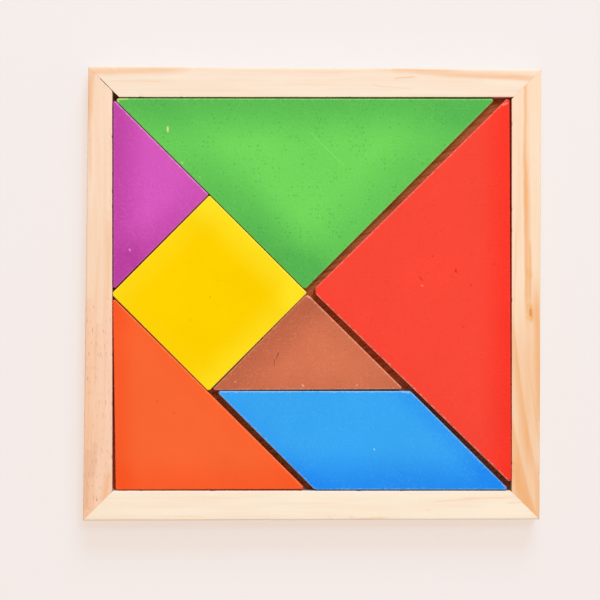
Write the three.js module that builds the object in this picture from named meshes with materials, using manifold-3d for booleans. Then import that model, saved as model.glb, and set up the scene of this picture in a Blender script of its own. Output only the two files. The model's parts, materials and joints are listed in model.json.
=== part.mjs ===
// Tangram puzzle: seven painted wooden tans in a mitred pine tray.
// Millimetres, +Z up, origin under the middle of the tray. Seen from above, +X is right and +Y is up.
import * as THREE from "three";
import { mergeVertices } from "three/addons/utils/BufferGeometryUtils.js";
import Module from "manifold-3d";

const wasm = await Module();
wasm.setup();

// The dissected square and the well that it lies in
const TANGRAM_SIDE = 98.8;
const WELL_PLAY_X = 2.5;
const WELL_PLAY_Y = 1.0;

// Rails: height, and the width of each rail at its two ends, as sanded by hand
const RAIL_HEIGHT = 10;
const TOP_RAIL_WIDTH_LEFT = 7.75;
const TOP_RAIL_WIDTH_RIGHT = 7.1;
const RIGHT_RAIL_WIDTH_TOP = 7.55;
const RIGHT_RAIL_WIDTH_BOTTOM = 7.1;
const BOTTOM_RAIL_WIDTH_RIGHT = 7.35;
const BOTTOM_RAIL_WIDTH_LEFT = 7.65;
const LEFT_RAIL_WIDTH_BOTTOM = 7.5;
const LEFT_RAIL_WIDTH_TOP = 6.1;
const RAIL_ARRIS = 0.5;
const WELL_ARRIS = 0.15;
const ARC_STEPS = 3;

// Mitres: the upper left one has opened, the others are tight
const MITRE_GAP = 0.08;
const OPEN_MITRE_GAP = 0.3;

// Finger joint between the two lengths of the left rail
const FINGER_JOINT_Y = -4.6;
const FINGER_LENGTH = 6.4;
const FINGER_PITCH = 5;
const FINGER_TIP = 1.7;
const FINGER_INSET = 0.55;
const GLUE_LINE = 0.08;

// Plywood base board, held in a groove of the rails
const BOARD_THICKNESS = 2.5;
const GROOVE_FLOOR = 1.5;
const GROOVE_DEPTH = 2.5;
const GROOVE_PLAY = 0.2;
const BOARD_EDGE_PLAY = 0.3;

// Tans: thickness, worn arris, and the gaps that are left where they lie against something
const TAN_THICKNESS = 6;
const TAN_ARRIS = 0.25;
const TAN_CORNER_STEPS = 5;
const RAIL_GAP = 0.33;
const JOINT_GAP = 0.15;
const PURPLE_YELLOW_GAP = 0.45;
const ORANGE_BLUE_GAP = 1.45;
const RED_OVERCUT = 1.1;
const RED_TIP_WEAR = 0.45;

// Paint and wood colours
const PINE = 0xf6dcbc;
const PINE_DARK = 0xf0cba6;
const PLYWOOD = 0xb4603c;

const WELL_X = TANGRAM_SIDE + WELL_PLAY_X;
const WELL_Y = TANGRAM_SIDE + WELL_PLAY_Y;
const QUARTER = TANGRAM_SIDE / 4;
const HALF_X = WELL_X / 2;
const HALF_Y = WELL_Y / 2;
const BOARD_TOP = GROOVE_FLOOR + BOARD_THICKNESS;

// Where the four pairs of outer faces meet
const OUTER = {
  topLeft: [-HALF_X - LEFT_RAIL_WIDTH_TOP, HALF_Y + TOP_RAIL_WIDTH_LEFT],
  topRight: [HALF_X + RIGHT_RAIL_WIDTH_TOP, HALF_Y + TOP_RAIL_WIDTH_RIGHT],
  bottomRight: [HALF_X + RIGHT_RAIL_WIDTH_BOTTOM, -HALF_Y - BOTTOM_RAIL_WIDTH_RIGHT],
  bottomLeft: [-HALF_X - LEFT_RAIL_WIDTH_BOTTOM, -HALF_Y - BOTTOM_RAIL_WIDTH_LEFT],
};

// Joins and cuts
function solidOf(geometry) {
  const bare = geometry.clone();
  bare.deleteAttribute("normal");
  bare.deleteAttribute("uv");
  const merged = mergeVertices(bare, 1e-4);
  const vertProperties = new Float32Array(merged.attributes.position.array);
  const triVerts = new Uint32Array(merged.index.array);
  return new wasm.Manifold(new wasm.Mesh({ numProp: 3, vertProperties, triVerts }));
}

function geometryOf(solid) {
  const { vertProperties, triVerts } = solid.getMesh();
  const geometry = new THREE.BufferGeometry();
  geometry.setAttribute("position", new THREE.BufferAttribute(vertProperties, 3));
  geometry.setIndex(new THREE.BufferAttribute(triVerts, 1));
  const faceted = geometry.toNonIndexed();
  faceted.computeVertexNormals();
  return faceted;
}

function prism(points, low, high) {
  const shape = new THREE.Shape(points.map(([x, y]) => new THREE.Vector2(x, y)));
  const geometry = new THREE.ExtrudeGeometry(shape, { depth: high - low, bevelEnabled: false });
  return geometry.translate(0, 0, low);
}

// Section of a rail: x runs in from the outer face to the well, y is height
function railSection(width) {
  const grooveRoot = width - GROOVE_DEPTH;
  const grooveRoof = BOARD_TOP + GROOVE_PLAY;
  const section = new THREE.Shape();
  section.moveTo(RAIL_ARRIS, 0);
  section.lineTo(width, 0);
  section.lineTo(width, GROOVE_FLOOR);
  section.lineTo(grooveRoot, GROOVE_FLOOR);
  section.lineTo(grooveRoot, grooveRoof);
  section.lineTo(width, grooveRoof);
  section.lineTo(width, RAIL_HEIGHT - WELL_ARRIS);
  section.absarc(width - WELL_ARRIS, RAIL_HEIGHT - WELL_ARRIS, WELL_ARRIS, 0, Math.PI / 2);
  section.lineTo(RAIL_ARRIS, RAIL_HEIGHT);
  section.absarc(RAIL_ARRIS, RAIL_HEIGHT - RAIL_ARRIS, RAIL_ARRIS, Math.PI / 2, Math.PI);
  section.lineTo(0, RAIL_ARRIS);
  section.absarc(RAIL_ARRIS, RAIL_ARRIS, RAIL_ARRIS, Math.PI, 1.5 * Math.PI);
  const points = section.getPoints(ARC_STEPS);
  points.pop();
  return points;
}

// One end of a rail: its section laid on the mitre plane that starts at an outer corner
function mitredEnd(corner, width, along, gap) {
  const inward = [-Math.sign(corner[0]), -Math.sign(corner[1])];
  const back = gap / Math.SQRT2;
  const section = railSection(width);
  const ring = section.map((p) => {
    const x = corner[0] + inward[0] * p.x + along[0] * back;
    const y = corner[1] + inward[1] * p.x + along[1] * back;
    return new THREE.Vector3(x, y, p.y);
  });
  return { ring, faces: THREE.ShapeUtils.triangulateShape(section, []) };
}

// A rail lofted from its first mitre to its second, going clockwise round the tray
function railGeometry(first, second) {
  const position = [];
  const push = (...points) => points.forEach((p) => position.push(p.x, p.y, p.z));
  first.ring.forEach((p, i) => {
    const next = (i + 1) % first.ring.length;
    push(p, second.ring[i], second.ring[next]);
    push(p, second.ring[next], first.ring[next]);
  });
  for (const [a, b, c] of first.faces) push(first.ring[a], first.ring[b], first.ring[c]);
  for (const [a, b, c] of second.faces) push(second.ring[a], second.ring[c], second.ring[b]);
  const geometry = new THREE.BufferGeometry();
  geometry.setAttribute("position", new THREE.Float32BufferAttribute(position, 3));
  geometry.computeVertexNormals();
  return geometry;
}

const topRail = railGeometry(
  mitredEnd(OUTER.topLeft, TOP_RAIL_WIDTH_LEFT, [1, 0], OPEN_MITRE_GAP),
  mitredEnd(OUTER.topRight, TOP_RAIL_WIDTH_RIGHT, [-1, 0], MITRE_GAP),
);
const rightRail = railGeometry(
  mitredEnd(OUTER.topRight, RIGHT_RAIL_WIDTH_TOP, [0, -1], MITRE_GAP),
  mitredEnd(OUTER.bottomRight, RIGHT_RAIL_WIDTH_BOTTOM, [0, 1], MITRE_GAP),
);
const bottomRail = railGeometry(
  mitredEnd(OUTER.bottomRight, BOTTOM_RAIL_WIDTH_RIGHT, [-1, 0], MITRE_GAP),
  mitredEnd(OUTER.bottomLeft, BOTTOM_RAIL_WIDTH_LEFT, [1, 0], MITRE_GAP),
);
const leftRail = railGeometry(
  mitredEnd(OUTER.bottomLeft, LEFT_RAIL_WIDTH_BOTTOM, [0, 1], MITRE_GAP),
  mitredEnd(OUTER.topLeft, LEFT_RAIL_WIDTH_TOP, [0, -1], OPEN_MITRE_GAP),
);

// The finger joint's line across the left rail, from the well outwards.
// side is 1 for the upper length and -1 for the lower one, which parts them by the glue line.
function fingerLine(side) {
  const shrink = (side * GLUE_LINE) / 2;
  const middle = FINGER_JOINT_Y + shrink;
  const widest = Math.max(LEFT_RAIL_WIDTH_TOP, LEFT_RAIL_WIDTH_BOTTOM);
  const points = [];
  for (let out = FINGER_INSET - FINGER_PITCH; out < widest + FINGER_PITCH; out += FINGER_PITCH) {
    const lowerFinger = -HALF_X - out;
    const upperFinger = lowerFinger - FINGER_PITCH / 2;
    points.push([lowerFinger + FINGER_TIP / 2 + shrink, middle + FINGER_LENGTH / 2]);
    points.push([lowerFinger - FINGER_TIP / 2 - shrink, middle + FINGER_LENGTH / 2]);
    points.push([upperFinger + FINGER_TIP / 2 - shrink, middle - FINGER_LENGTH / 2]);
    points.push([upperFinger - FINGER_TIP / 2 + shrink, middle - FINGER_LENGTH / 2]);
  }
  return points;
}

// One length of the left rail: the rail on one side of the finger line
function leftRailLength(side) {
  const line = fingerLine(side);
  const farY = side * WELL_Y;
  const region = [...line, [line.at(-1)[0], farY], [line[0][0], farY]];
  const stock = prism(region, -RAIL_HEIGHT, 2 * RAIL_HEIGHT);
  return geometryOf(solidOf(leftRail).intersect(solidOf(stock)));
}

// Base board, reaching into the groove on all sides
function baseBoard() {
  const reach = GROOVE_DEPTH - BOARD_EDGE_PLAY;
  const x = HALF_X + reach;
  const y = HALF_Y + reach;
  const outline = [[-x, -y], [x, -y], [x, y], [-x, y]];
  return prism(outline, GROOVE_FLOOR, BOARD_TOP);
}

// The seven tans: corners counted in quarters of the square's side, counter-clockwise.
// radii are those of the worn corners, trims is what saw and sandpaper took off each edge, from
// corner to corner, less than nothing where it was sawn full, and turn is the twist in degrees.
const TANS = {
  large_triangle_green: {
    corners: [[0, 4], [2, 2], [4, 4]],
    radii: [0.55, 0.8, 0.45],
    trims: [0.45, 0.18, 0.45],
    turn: 0,
    colour: 0x63c95a,
  },
  large_triangle_red: {
    corners: [[4, 0], [4, 4], [2 - RED_OVERCUT / QUARTER, 2]],
    radii: [0.55, 0.6, 1.8],
    trims: [0, 0.27, 0.27],
    turn: 0.25,
    colour: 0xf54a3a,
  },
  medium_triangle_orange: {
    corners: [[0, 0], [2, 0], [0, 2]],
    radii: [0.6, 0.55, 0.4],
    trims: [0.29, 0.23, 0.29],
    turn: 0.2,
    colour: 0xfa6434,
  },
  small_triangle_purple: {
    corners: [[0, 2], [1, 3], [0, 4]],
    radii: [0.4, 0.45, 0.4],
    trims: [0.13, 0.26, 0.26],
    turn: 0,
    colour: 0xcf52b8,
  },
  square_yellow: {
    corners: [[1, 1], [2, 2], [1, 3], [0, 2]],
    radii: [0.7, 0.4, 0.45, 1],
    trims: [0.03, -0.22, 0.1, -0.22],
    turn: 0,
    colour: 0xfbd20c,
  },
  parallelogram_blue: {
    corners: [[2, 0], [4, 0], [3, 1], [1, 1]],
    radii: [1.8, 0.45, 1.2, 0.5],
    trims: [0.1, -0.06, -0.36, 0.1],
    turn: 0,
    colour: 0x369ff0,
  },
  small_triangle_brown: {
    corners: [[1, 1], [3, 1], [2, 2]],
    radii: [0.4, 0.4, 0.9],
    trims: [0.14, 0.33, 0.14],
    turn: 0.3,
    colour: 0xd0714f,
  },
};

// Corners of a tan in the well, with every edge moved in by its trim and the whole turned a little
function trimmedCorners({ corners, trims, turn }) {
  const nominal = corners.map(([x, y]) => new THREE.Vector2(x - 2, y - 2).multiplyScalar(QUARTER));
  const count = nominal.length;
  const trimmed = nominal.map((corner, i) => {
    const before = nominal[(i + count - 1) % count].clone().sub(corner).normalize();
    const after = nominal[(i + 1) % count].clone().sub(corner).normalize();
    const spread = Math.sin(before.angleTo(after));
    const moved = corner.clone().addScaledVector(before, trims[i] / spread);
    return moved.addScaledVector(after, trims[(i + count - 1) % count] / spread);
  });
  const middle = trimmed.reduce((sum, p) => sum.add(p), new THREE.Vector2()).divideScalar(count);
  return trimmed.map((p) => p.rotateAround(middle, THREE.MathUtils.degToRad(turn)));
}

// Directions in which tans lie against rails and each other
const UP = new THREE.Vector2(0, 1);
const DOWN = new THREE.Vector2(0, -1);
const LEFT = new THREE.Vector2(-1, 0);
const RIGHT = new THREE.Vector2(1, 0);
const UP_RIGHT = new THREE.Vector2(1, 1).normalize();
const DOWN_LEFT = new THREE.Vector2(-1, -1).normalize();
const UP_LEFT = new THREE.Vector2(-1, 1).normalize();

const outlines = {};
for (const [name, tan] of Object.entries(TANS)) outlines[name] = trimmedCorners(tan);

const furthest = (name, way) => Math.max(...outlines[name].map((p) => p.dot(way)));

// How far a tan can go each way before only the gap is left
const wellReach = (way) => Math.abs(way.x) * HALF_X + Math.abs(way.y) * HALF_Y;
const toRail = (name, way) => wellReach(way) - RAIL_GAP - furthest(name, way);
const toTan = (name, way, other, gap = JOINT_GAP) =>
  -furthest(other, way.clone().negate()) - gap - furthest(name, way);

// Slides a tan until it has gone both distances, each along its own direction
function settle(name, wayA, goA, wayB, goB) {
  const spread = wayA.cross(wayB);
  const shift = new THREE.Vector2(
    (goA * wayB.y - goB * wayA.y) / spread,
    (goB * wayA.x - goA * wayB.x) / spread,
  );
  outlines[name].forEach((p) => p.add(shift));
}

const GREEN = "large_triangle_green";
const RED = "large_triangle_red";
const ORANGE = "medium_triangle_orange";
const PURPLE = "small_triangle_purple";
const YELLOW = "square_yellow";
const BLUE = "parallelogram_blue";
const BROWN = "small_triangle_brown";

settle(GREEN, UP, toRail(GREEN, UP), LEFT, toRail(GREEN, LEFT));
settle(RED, RIGHT, toRail(RED, RIGHT), UP, toRail(RED, UP) + RED_TIP_WEAR);
settle(ORANGE, LEFT, toRail(ORANGE, LEFT), DOWN, toRail(ORANGE, DOWN));
settle(PURPLE, LEFT, toRail(PURPLE, LEFT), UP_RIGHT, toTan(PURPLE, UP_RIGHT, GREEN));
settle(YELLOW, UP_LEFT, toTan(YELLOW, UP_LEFT, PURPLE, PURPLE_YELLOW_GAP), UP_RIGHT, toTan(YELLOW, UP_RIGHT, GREEN));
settle(BLUE, DOWN, toRail(BLUE, DOWN), DOWN_LEFT, toTan(BLUE, DOWN_LEFT, ORANGE, ORANGE_BLUE_GAP));
settle(BROWN, UP_LEFT, toTan(BROWN, UP_LEFT, YELLOW), DOWN, toTan(BROWN, DOWN, BLUE));

// A tan: its outline with rounded corners, as thick as the board it was sawn from, arrises worn
function tanGeometry(corners, radii) {
  const shape = new THREE.Shape();
  const count = corners.length;
  corners.forEach((corner, i) => {
    const radius = radii[i];
    const before = corners[(i + count - 1) % count].clone().sub(corner).normalize();
    const after = corners[(i + 1) % count].clone().sub(corner).normalize();
    const half = before.angleTo(after) / 2;
    const toCentre = before.clone().add(after).setLength(radius / Math.sin(half));
    const centre = corner.clone().add(toCentre);
    const start = before.clone().setLength(radius / Math.tan(half)).add(corner).sub(centre).angle();
    const sweep = Math.PI - 2 * half;
    shape.absarc(centre.x, centre.y, radius, start, start + sweep);
  });
  const geometry = new THREE.ExtrudeGeometry(shape, {
    depth: TAN_THICKNESS - 2 * TAN_ARRIS,
    curveSegments: TAN_CORNER_STEPS,
    bevelThickness: TAN_ARRIS,
    bevelSize: TAN_ARRIS,
    bevelOffset: -TAN_ARRIS,
    bevelSegments: 2,
  });
  return geometry.translate(0, 0, BOARD_TOP + TAN_ARRIS);
}

// The tray's box decides where the origin goes
const corners = Object.values(OUTER);
const middleOf = (axis) => {
  const values = corners.map((corner) => corner[axis]);
  return (Math.min(...values) + Math.max(...values)) / 2;
};

const group = new THREE.Group();
group.position.set(-middleOf(0), -middleOf(1), 0);

function addPiece(name, geometry, color, roughness) {
  const material = new THREE.MeshStandardMaterial({ color, roughness, metalness: 0 });
  const mesh = new THREE.Mesh(geometry, material);
  mesh.name = name;
  group.add(mesh);
}

addPiece("top_rail", topRail, PINE, 0.6);
addPiece("right_rail", rightRail, PINE, 0.6);
addPiece("bottom_rail", bottomRail, PINE, 0.6);
addPiece("left_rail_upper", leftRailLength(1), PINE, 0.6);
addPiece("left_rail_lower", leftRailLength(-1), PINE_DARK, 0.6);
addPiece("base_board", baseBoard(), PLYWOOD, 0.75);
for (const [name, tan] of Object.entries(TANS)) {
  addPiece(name, tanGeometry(outlines[name], tan.radii), tan.colour, 0.5);
}

export default group;
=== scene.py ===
"""Looks of a tangram puzzle: seven painted tans in a mitred pine tray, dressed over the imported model."""
import json
import math
import random
from collections import namedtuple

import bmesh
import bpy
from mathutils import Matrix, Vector, noise


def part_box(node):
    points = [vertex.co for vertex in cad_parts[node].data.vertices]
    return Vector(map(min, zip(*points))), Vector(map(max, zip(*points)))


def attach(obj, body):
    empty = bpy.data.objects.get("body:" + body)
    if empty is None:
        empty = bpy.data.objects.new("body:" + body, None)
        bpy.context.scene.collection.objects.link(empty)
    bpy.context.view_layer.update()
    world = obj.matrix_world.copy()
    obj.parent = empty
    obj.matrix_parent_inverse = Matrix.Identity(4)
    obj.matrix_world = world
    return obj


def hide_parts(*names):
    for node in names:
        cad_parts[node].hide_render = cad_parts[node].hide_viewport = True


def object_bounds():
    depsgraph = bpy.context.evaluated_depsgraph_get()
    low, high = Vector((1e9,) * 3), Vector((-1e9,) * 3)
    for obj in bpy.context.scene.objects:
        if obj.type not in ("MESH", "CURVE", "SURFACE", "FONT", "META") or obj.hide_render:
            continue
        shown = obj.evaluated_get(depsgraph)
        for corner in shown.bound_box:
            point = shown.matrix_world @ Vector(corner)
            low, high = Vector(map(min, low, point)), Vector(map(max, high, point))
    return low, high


bl_info = {
    "name": "Tangram Puzzle",
    "version": (1, 0, 0),
    "blender": (4, 5, 0),
    "location": "View3D > Sidebar > Tangram",
    "description": "Makes the pine tray, the painted tans and the stage of a tangram puzzle",
    "category": "Object",
}

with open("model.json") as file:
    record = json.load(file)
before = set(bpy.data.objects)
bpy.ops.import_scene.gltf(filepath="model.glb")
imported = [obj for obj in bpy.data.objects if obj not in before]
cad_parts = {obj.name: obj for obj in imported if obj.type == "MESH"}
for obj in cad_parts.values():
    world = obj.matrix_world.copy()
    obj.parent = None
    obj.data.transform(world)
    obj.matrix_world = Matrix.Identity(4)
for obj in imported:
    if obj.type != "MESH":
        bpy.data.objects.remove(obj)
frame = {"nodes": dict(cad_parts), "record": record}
CAD_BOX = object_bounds()

# Blender works in metres, and lengths here are in millimetres where nothing else is said
MM = 0.001

BOARD = "base_board"
BOARD_LOW, BOARD_HIGH = (corner.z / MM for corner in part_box(BOARD))
RIM = CAD_BOX[1].z / MM

# Axes that a rail can lie along
X, Y = 0, 1


def srgb(red, green, blue):
    """Linear colour of the usual values from 0 to 255."""

    def linear(value):
        share = value / 255
        return share / 12.92 if share <= 0.04045 else ((share + 0.055) / 1.055) ** 2.4

    return linear(red), linear(green), linear(blue)


def rgba(colour):
    """Colour with full opacity, as colour sockets take it."""
    return (*colour, 1.0)


# Sizes and colours that a user would change


def length_prop(label, words, value, low=0.0):
    """Length in millimetres."""
    return bpy.props.FloatProperty(name=label, description=words, default=value, min=low)


def share_prop(label, words, value, high=1.0):
    """Strength of an effect."""
    return bpy.props.FloatProperty(
        name=label, description=words, default=value, min=0.0, max=high, subtype="FACTOR"
    )


def colour_prop(label, words, value):
    """Colour of a finish."""
    return bpy.props.FloatVectorProperty(
        name=label, description=words, default=value, min=0.0, max=1.0, size=3, subtype="COLOR"
    )


def stage_prop(label, words, value, unit, low=0.0):
    """Power in watts or length in metres."""
    return bpy.props.FloatProperty(name=label, description=words, default=value, min=low, unit=unit)


class TangramTray(bpy.types.PropertyGroup):
    """Pine rails and plywood base board."""

    rail_arris: length_prop("Rail arris", "Radius of the sanded outer edges of the rails, mm", 0.45)
    well_arris: length_prop("Well arris", "Radius of the crisp edges round the well, mm", 0.13)
    foot_arris: length_prop("Foot arris", "Radius of the inner edges that the rails stand on, mm", 0.2)
    mitre_ease: length_prop("Mitre ease", "How far the cut ends are eased with sandpaper, mm", 0.02)
    station: length_prop("Station", "Spacing of the cross sections along a rail, mm", 0.55, low=0.2)
    sanding: length_prop("Sanding", "Depth of the waves that hand sanding leaves, mm", 0.06)
    nick_depth: length_prop("Nick depth", "Depth of the knocks along the edges of the rails, mm", 0.16)
    groove_depth: length_prop("Groove depth", "How deep the groove of the base board is, mm", 2.5)
    groove_play: length_prop("Groove play", "Room over the base board in its groove, mm", 0.2)
    board_arris: length_prop("Board arris", "Radius of the edges of the base board, mm", 0.12)
    pine_pale: colour_prop("Pale pine", "Early wood of a rail with no other colour", srgb(250, 231, 212))
    pine_late: colour_prop("Late wood", "Late wood of the pine", srgb(242, 174, 112))
    pine_fleck: colour_prop("Fleck", "Resin canals and pith flecks", srgb(140, 96, 74))
    ply_face: colour_prop("Plywood", "Face veneer of the base board", srgb(250, 144, 80))
    ply_dark: colour_prop("Plywood grain", "Dark grain of the face veneer", srgb(214, 106, 54))


class TangramTans(bpy.types.PropertyGroup):
    """Painted tans."""

    arris: length_prop("Arris", "Radius of the rounded edges of the tans, mm", 0.32)
    edge_step: length_prop("Edge step", "Spacing of the points along the edges of a tan, mm", 0.6, low=0.2)
    dents: length_prop("Dents", "How far knocks push in the edges of the tans, mm", 0.03)
    fibres: share_prop("Fibres", "How clearly wood fibres show through the paint", 1.0, high=2.0)
    # Strength of the pale edges of the tans, which are partly rubbed paint and partly a painted highlight
    wear_and_highlight: share_prop("Wear And Highlight", "How pale the rubbed edges are", 1.0, high=2.0)
    green: colour_prop("Green", "Paint of one large triangle", srgb(112, 212, 91))
    red: colour_prop("Red", "Paint of the other large triangle", srgb(248, 72, 56))
    orange: colour_prop("Orange", "Paint of the medium triangle", srgb(251, 104, 53))
    purple: colour_prop("Purple", "Paint of one small triangle", srgb(213, 88, 189))
    brown: colour_prop("Brown", "Paint of the other small triangle", srgb(214, 117, 84))
    yellow: colour_prop("Yellow", "Paint of the square", srgb(253, 209, 0))
    blue: colour_prop("Blue", "Paint of the parallelogram", srgb(57, 167, 247))


class TangramStage(bpy.types.PropertyGroup):
    """Floor, light and camera."""

    floor: colour_prop("Floor", "Colour of the plain floor as it lights the tray", srgb(240, 237, 234))
    floor_lit: colour_prop("Lit floor", "Colour that a shadow takes away from the floor", srgb(180, 229, 255))
    floor_glow: colour_prop("Floor glow", "Colour that a shadow leaves on the floor", srgb(255, 224, 206))
    glow: share_prop("Glow share", "Share of the floor's paleness that a shadow leaves", 0.62)
    sky: share_prop("Sky", "Strength of the even light all round", 0.53, high=4.0)
    window: stage_prop("Window", "Power of the broad soft light from the top side", 15.2, "POWER")
    ceiling: stage_prop("Ceiling", "Power of the smaller light, which reaches into the gaps", 8.8, "POWER")
    camera_height: stage_prop("Camera height", "Height of the camera over the rim", 0.6, "LENGTH", low=0.1)
    view_width: stage_prop("View width", "Width of the picture at the rim", 0.15213, "LENGTH", low=0.01)


# Nodes: short helpers, then the effects that materials are made of

SOCKETS = {"value": "NodeSocketFloat", "vector": "NodeSocketVector", "colour": "NodeSocketColor"}

# What an effect that makes a whole finish gives to a material
FINISH = {"colour": ("Colour",), "value": ("Roughness", "Height")}

# What a streak of late wood is given: its ends along and across the rail, its bow between them, the
# softness of its two sides, and its strength
STREAK = ("From", "To", "Across From", "Across To", "Bow", "Inner", "Outer", "Strength")

# Wood fibres under the paint and pits in it, as sizes of the fibre strokes
LONG_FIBRES = {"Cell": 1.5, "Length": 0.62, "Width": 0.15, "Share": 0.6}
SHORT_FIBRES = {"Cell": 0.85, "Length": 0.6, "Width": 0.2, "Share": 0.55}
PITS = {"Cell": 1.15, "Length": 0.36, "Width": 0.24, "Share": 0.34}

# Roughness of the paint, and what fibres, rubbed edges, fine grain and pits add to it or to its height
PAINT_ROUGHNESS = 0.42
FIBRE_ROUGHNESS, RUBBED_ROUGHNESS, FINE_ROUGHNESS = 0.12, 0.2, 0.03
FIBRE_HEIGHT, FINE_HEIGHT, PIT_HEIGHT = 0.35, 0.12, -0.7

# The pale edge, partly rubbed paint and partly a painted highlight, ends this far from an edge, and is whole
# up to the second distance
PALE_EDGE_END, PALE_EDGE_WHOLE = 0.5, 0.2

# Growth lines of the pine per millimetre, and how far they lean for each millimetre down
RINGS_PER_MM = 0.43
RING_LEAN = 0.45

# Patterns of the pine and of the veneer: how close together they lie along the grain, across it and
# through the wood
PINE_GRAIN, PINE_CLOUDS, FLECK_CELLS = (0.045, 2.6, 2.6), (0.03, 0.22, 1.0), (0.33, 1.6, 1.6)
VENEER_STRIPES, VENEER_PORES = (0.03, 1.5, 1.0), (0.3, 3.2, 1.0)

# Roughness of the pine and of the veneer, what grain and stripes add to it, and what late wood, flecks
# and pores add to the height
PINE_ROUGHNESS, GRAIN_ROUGHNESS = 0.5, 0.16
VENEER_ROUGHNESS, STRIPE_ROUGHNESS = 0.6, 0.1
LATE_HEIGHT, FLECK_HEIGHT, PORE_HEIGHT = 0.5, -0.6, -1.0

# The middle ply of the base board, as shares of its thickness
PLY_LOW, PLY_HIGH, PLY_BLUR = 0.3, 0.7, 0.02


def add(tree, kind, inputs=None, **settings):
    """Adds a node. An input is given a value, or the socket that feeds it."""
    made = tree.nodes.new(kind)
    for key, value in settings.items():
        setattr(made, key, value)
    for key, value in (inputs or {}).items():
        if isinstance(value, bpy.types.NodeSocket):
            tree.links.new(value, made.inputs[key])
        else:
            made.inputs[key].default_value = value
    return made


def calc(tree, operation, *values, clamp=False):
    """Result of a Math node."""
    inputs = dict(enumerate(values))
    return add(tree, "ShaderNodeMath", inputs, operation=operation, use_clamp=clamp).outputs[0]


def fold(tree, operation, first, *others):
    """Result of one operation over several values, from left to right."""
    for other in others:
        first = calc(tree, operation, first, other)
    return first


def times(tree, *values):
    """Product of several values."""
    return fold(tree, "MULTIPLY", *values)


def vector(tree, operation, *values, output=0):
    """Result of a Vector Math node."""
    return add(tree, "ShaderNodeVectorMath", dict(enumerate(values)), operation=operation).outputs[output]


def scaled(tree, value, share):
    """Vector or colour times one value."""
    return add(tree, "ShaderNodeVectorMath", {0: value, "Scale": share}, operation="SCALE").outputs[0]


def dot(tree, first, second):
    """Dot product of two vectors."""
    return vector(tree, "DOT_PRODUCT", first, second, output="Value")


def ramp(tree, value, start, end):
    """Smooth step from 0 at start to 1 at end."""
    inputs = {0: value, 1: start, 2: end}
    return add(tree, "ShaderNodeMapRange", inputs, interpolation_type="SMOOTHSTEP").outputs[0]


def line(tree, value, start, end, low=0.0, high=1.0):
    """Straight ramp from low at start to high at end."""
    return add(tree, "ShaderNodeMapRange", {0: value, 1: start, 2: end, 3: low, 4: high}).outputs[0]


def mix(tree, share, first, second):
    """Blend of two colours."""
    return add(tree, "ShaderNodeMix", {0: share, 6: first, 7: second}, data_type="RGBA").outputs[2]


def speckle(tree, place, scale=1.0, detail=2.0, rough=0.5):
    """Noise from 0 to 1, with its middle at a half."""
    inputs = {"Vector": place, "Scale": scale, "Detail": detail, "Roughness": rough}
    return add(tree, "ShaderNodeTexNoise", inputs).outputs[0]


def split(tree, value):
    """X, Y and Z of a vector."""
    return add(tree, "ShaderNodeSeparateXYZ", {0: value}).outputs


def join(tree, *values):
    """Vector from X, Y and Z."""
    return add(tree, "ShaderNodeCombineXYZ", dict(enumerate(values))).outputs[0]


def stretched(tree, values, factors):
    """Vector from X, Y and Z, each times its own factor."""
    return join(tree, *(times(tree, value, factor) for value, factor in zip(values, factors)))


def nearest_cell(tree, place):
    """Way from the middle of the nearest cell of a Voronoi pattern, and three chances of that cell."""
    cells = add(tree, "ShaderNodeTexVoronoi", {"Vector": place, "Scale": 1.0}).outputs
    chance = add(tree, "ShaderNodeSeparateColor", {0: cells["Color"]}).outputs
    return vector(tree, "SUBTRACT", place, cells["Position"]), chance


def group(name, inputs, outputs):
    """New shader node group, with its input sockets and the sockets of its output."""
    tree = bpy.data.node_groups.new(name, "ShaderNodeTree")
    for way, sockets in (("INPUT", inputs), ("OUTPUT", outputs)):
        for kind, labels in sockets.items():
            for label in labels:
                tree.interface.new_socket(name=label, in_out=way, socket_type=SOCKETS[kind])
    return tree, tree.nodes.new("NodeGroupInput").outputs, tree.nodes.new("NodeGroupOutput").inputs


def place_group(tree, effect, inputs):
    """Places an effect in a material or in another effect."""
    return add(tree, "ShaderNodeGroup", inputs, node_tree=bpy.data.node_groups[effect]).outputs


def feed(tree, sockets, results):
    """Feeds results to the sockets of the same names, and lays the nodes out."""
    for label, result in results.items():
        tree.links.new(result, sockets[label])
    arrange(tree)


def arrange(tree):
    """Lays the nodes out in columns, from the output back to the inputs."""
    column = {}
    for made in tree.nodes:
        if not any(socket.is_linked for socket in made.outputs):
            column[made.name] = 0
    waiting = list(column)
    while waiting:
        name = waiting.pop()
        for socket in tree.nodes[name].inputs:
            for link in socket.links:
                if column.get(link.from_node.name, -1) < column[name] + 1:
                    column[link.from_node.name] = column[name] + 1
                    waiting.append(link.from_node.name)
    rows = {}
    for made in tree.nodes:
        depth = column[made.name]
        made.location = (-220.0 * depth, -200.0 * rows.get(depth, 0))
        rows[depth] = rows.get(depth, 0) + 1


def make_fibre_group(name):
    """Short bent strokes that lie every way, one in some of the cells of a Voronoi pattern."""
    tree, given, out = group(
        name, {"vector": ("Position",), "value": ("Cell", "Length", "Width", "Share")},
        {"value": ("Mask",)},
    )
    place = vector(tree, "DIVIDE", given["Position"], join(tree, *[given["Cell"]] * 3))
    away, chance = nearest_cell(tree, place)
    turn = times(tree, chance[0], math.tau)
    turned = split(tree, add(tree, "ShaderNodeVectorRotate", {"Vector": away, "Angle": turn}).outputs[0])
    bend = line(tree, chance[2], 0.0, 1.0, -1.2, 1.2)
    sag = times(tree, turned[0], turned[0], bend)
    across = calc(tree, "ABSOLUTE", calc(tree, "ADD", turned[1], sag))
    along = calc(tree, "ABSOLUTE", turned[0])
    thin = ramp(tree, across, given["Width"], 0.0)
    short = ramp(tree, along, given["Length"], times(tree, given["Length"], 0.5))
    kept = calc(tree, "LESS_THAN", chance[1], given["Share"])
    feed(tree, out, {"Mask": times(tree, thin, short, kept)})


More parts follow.
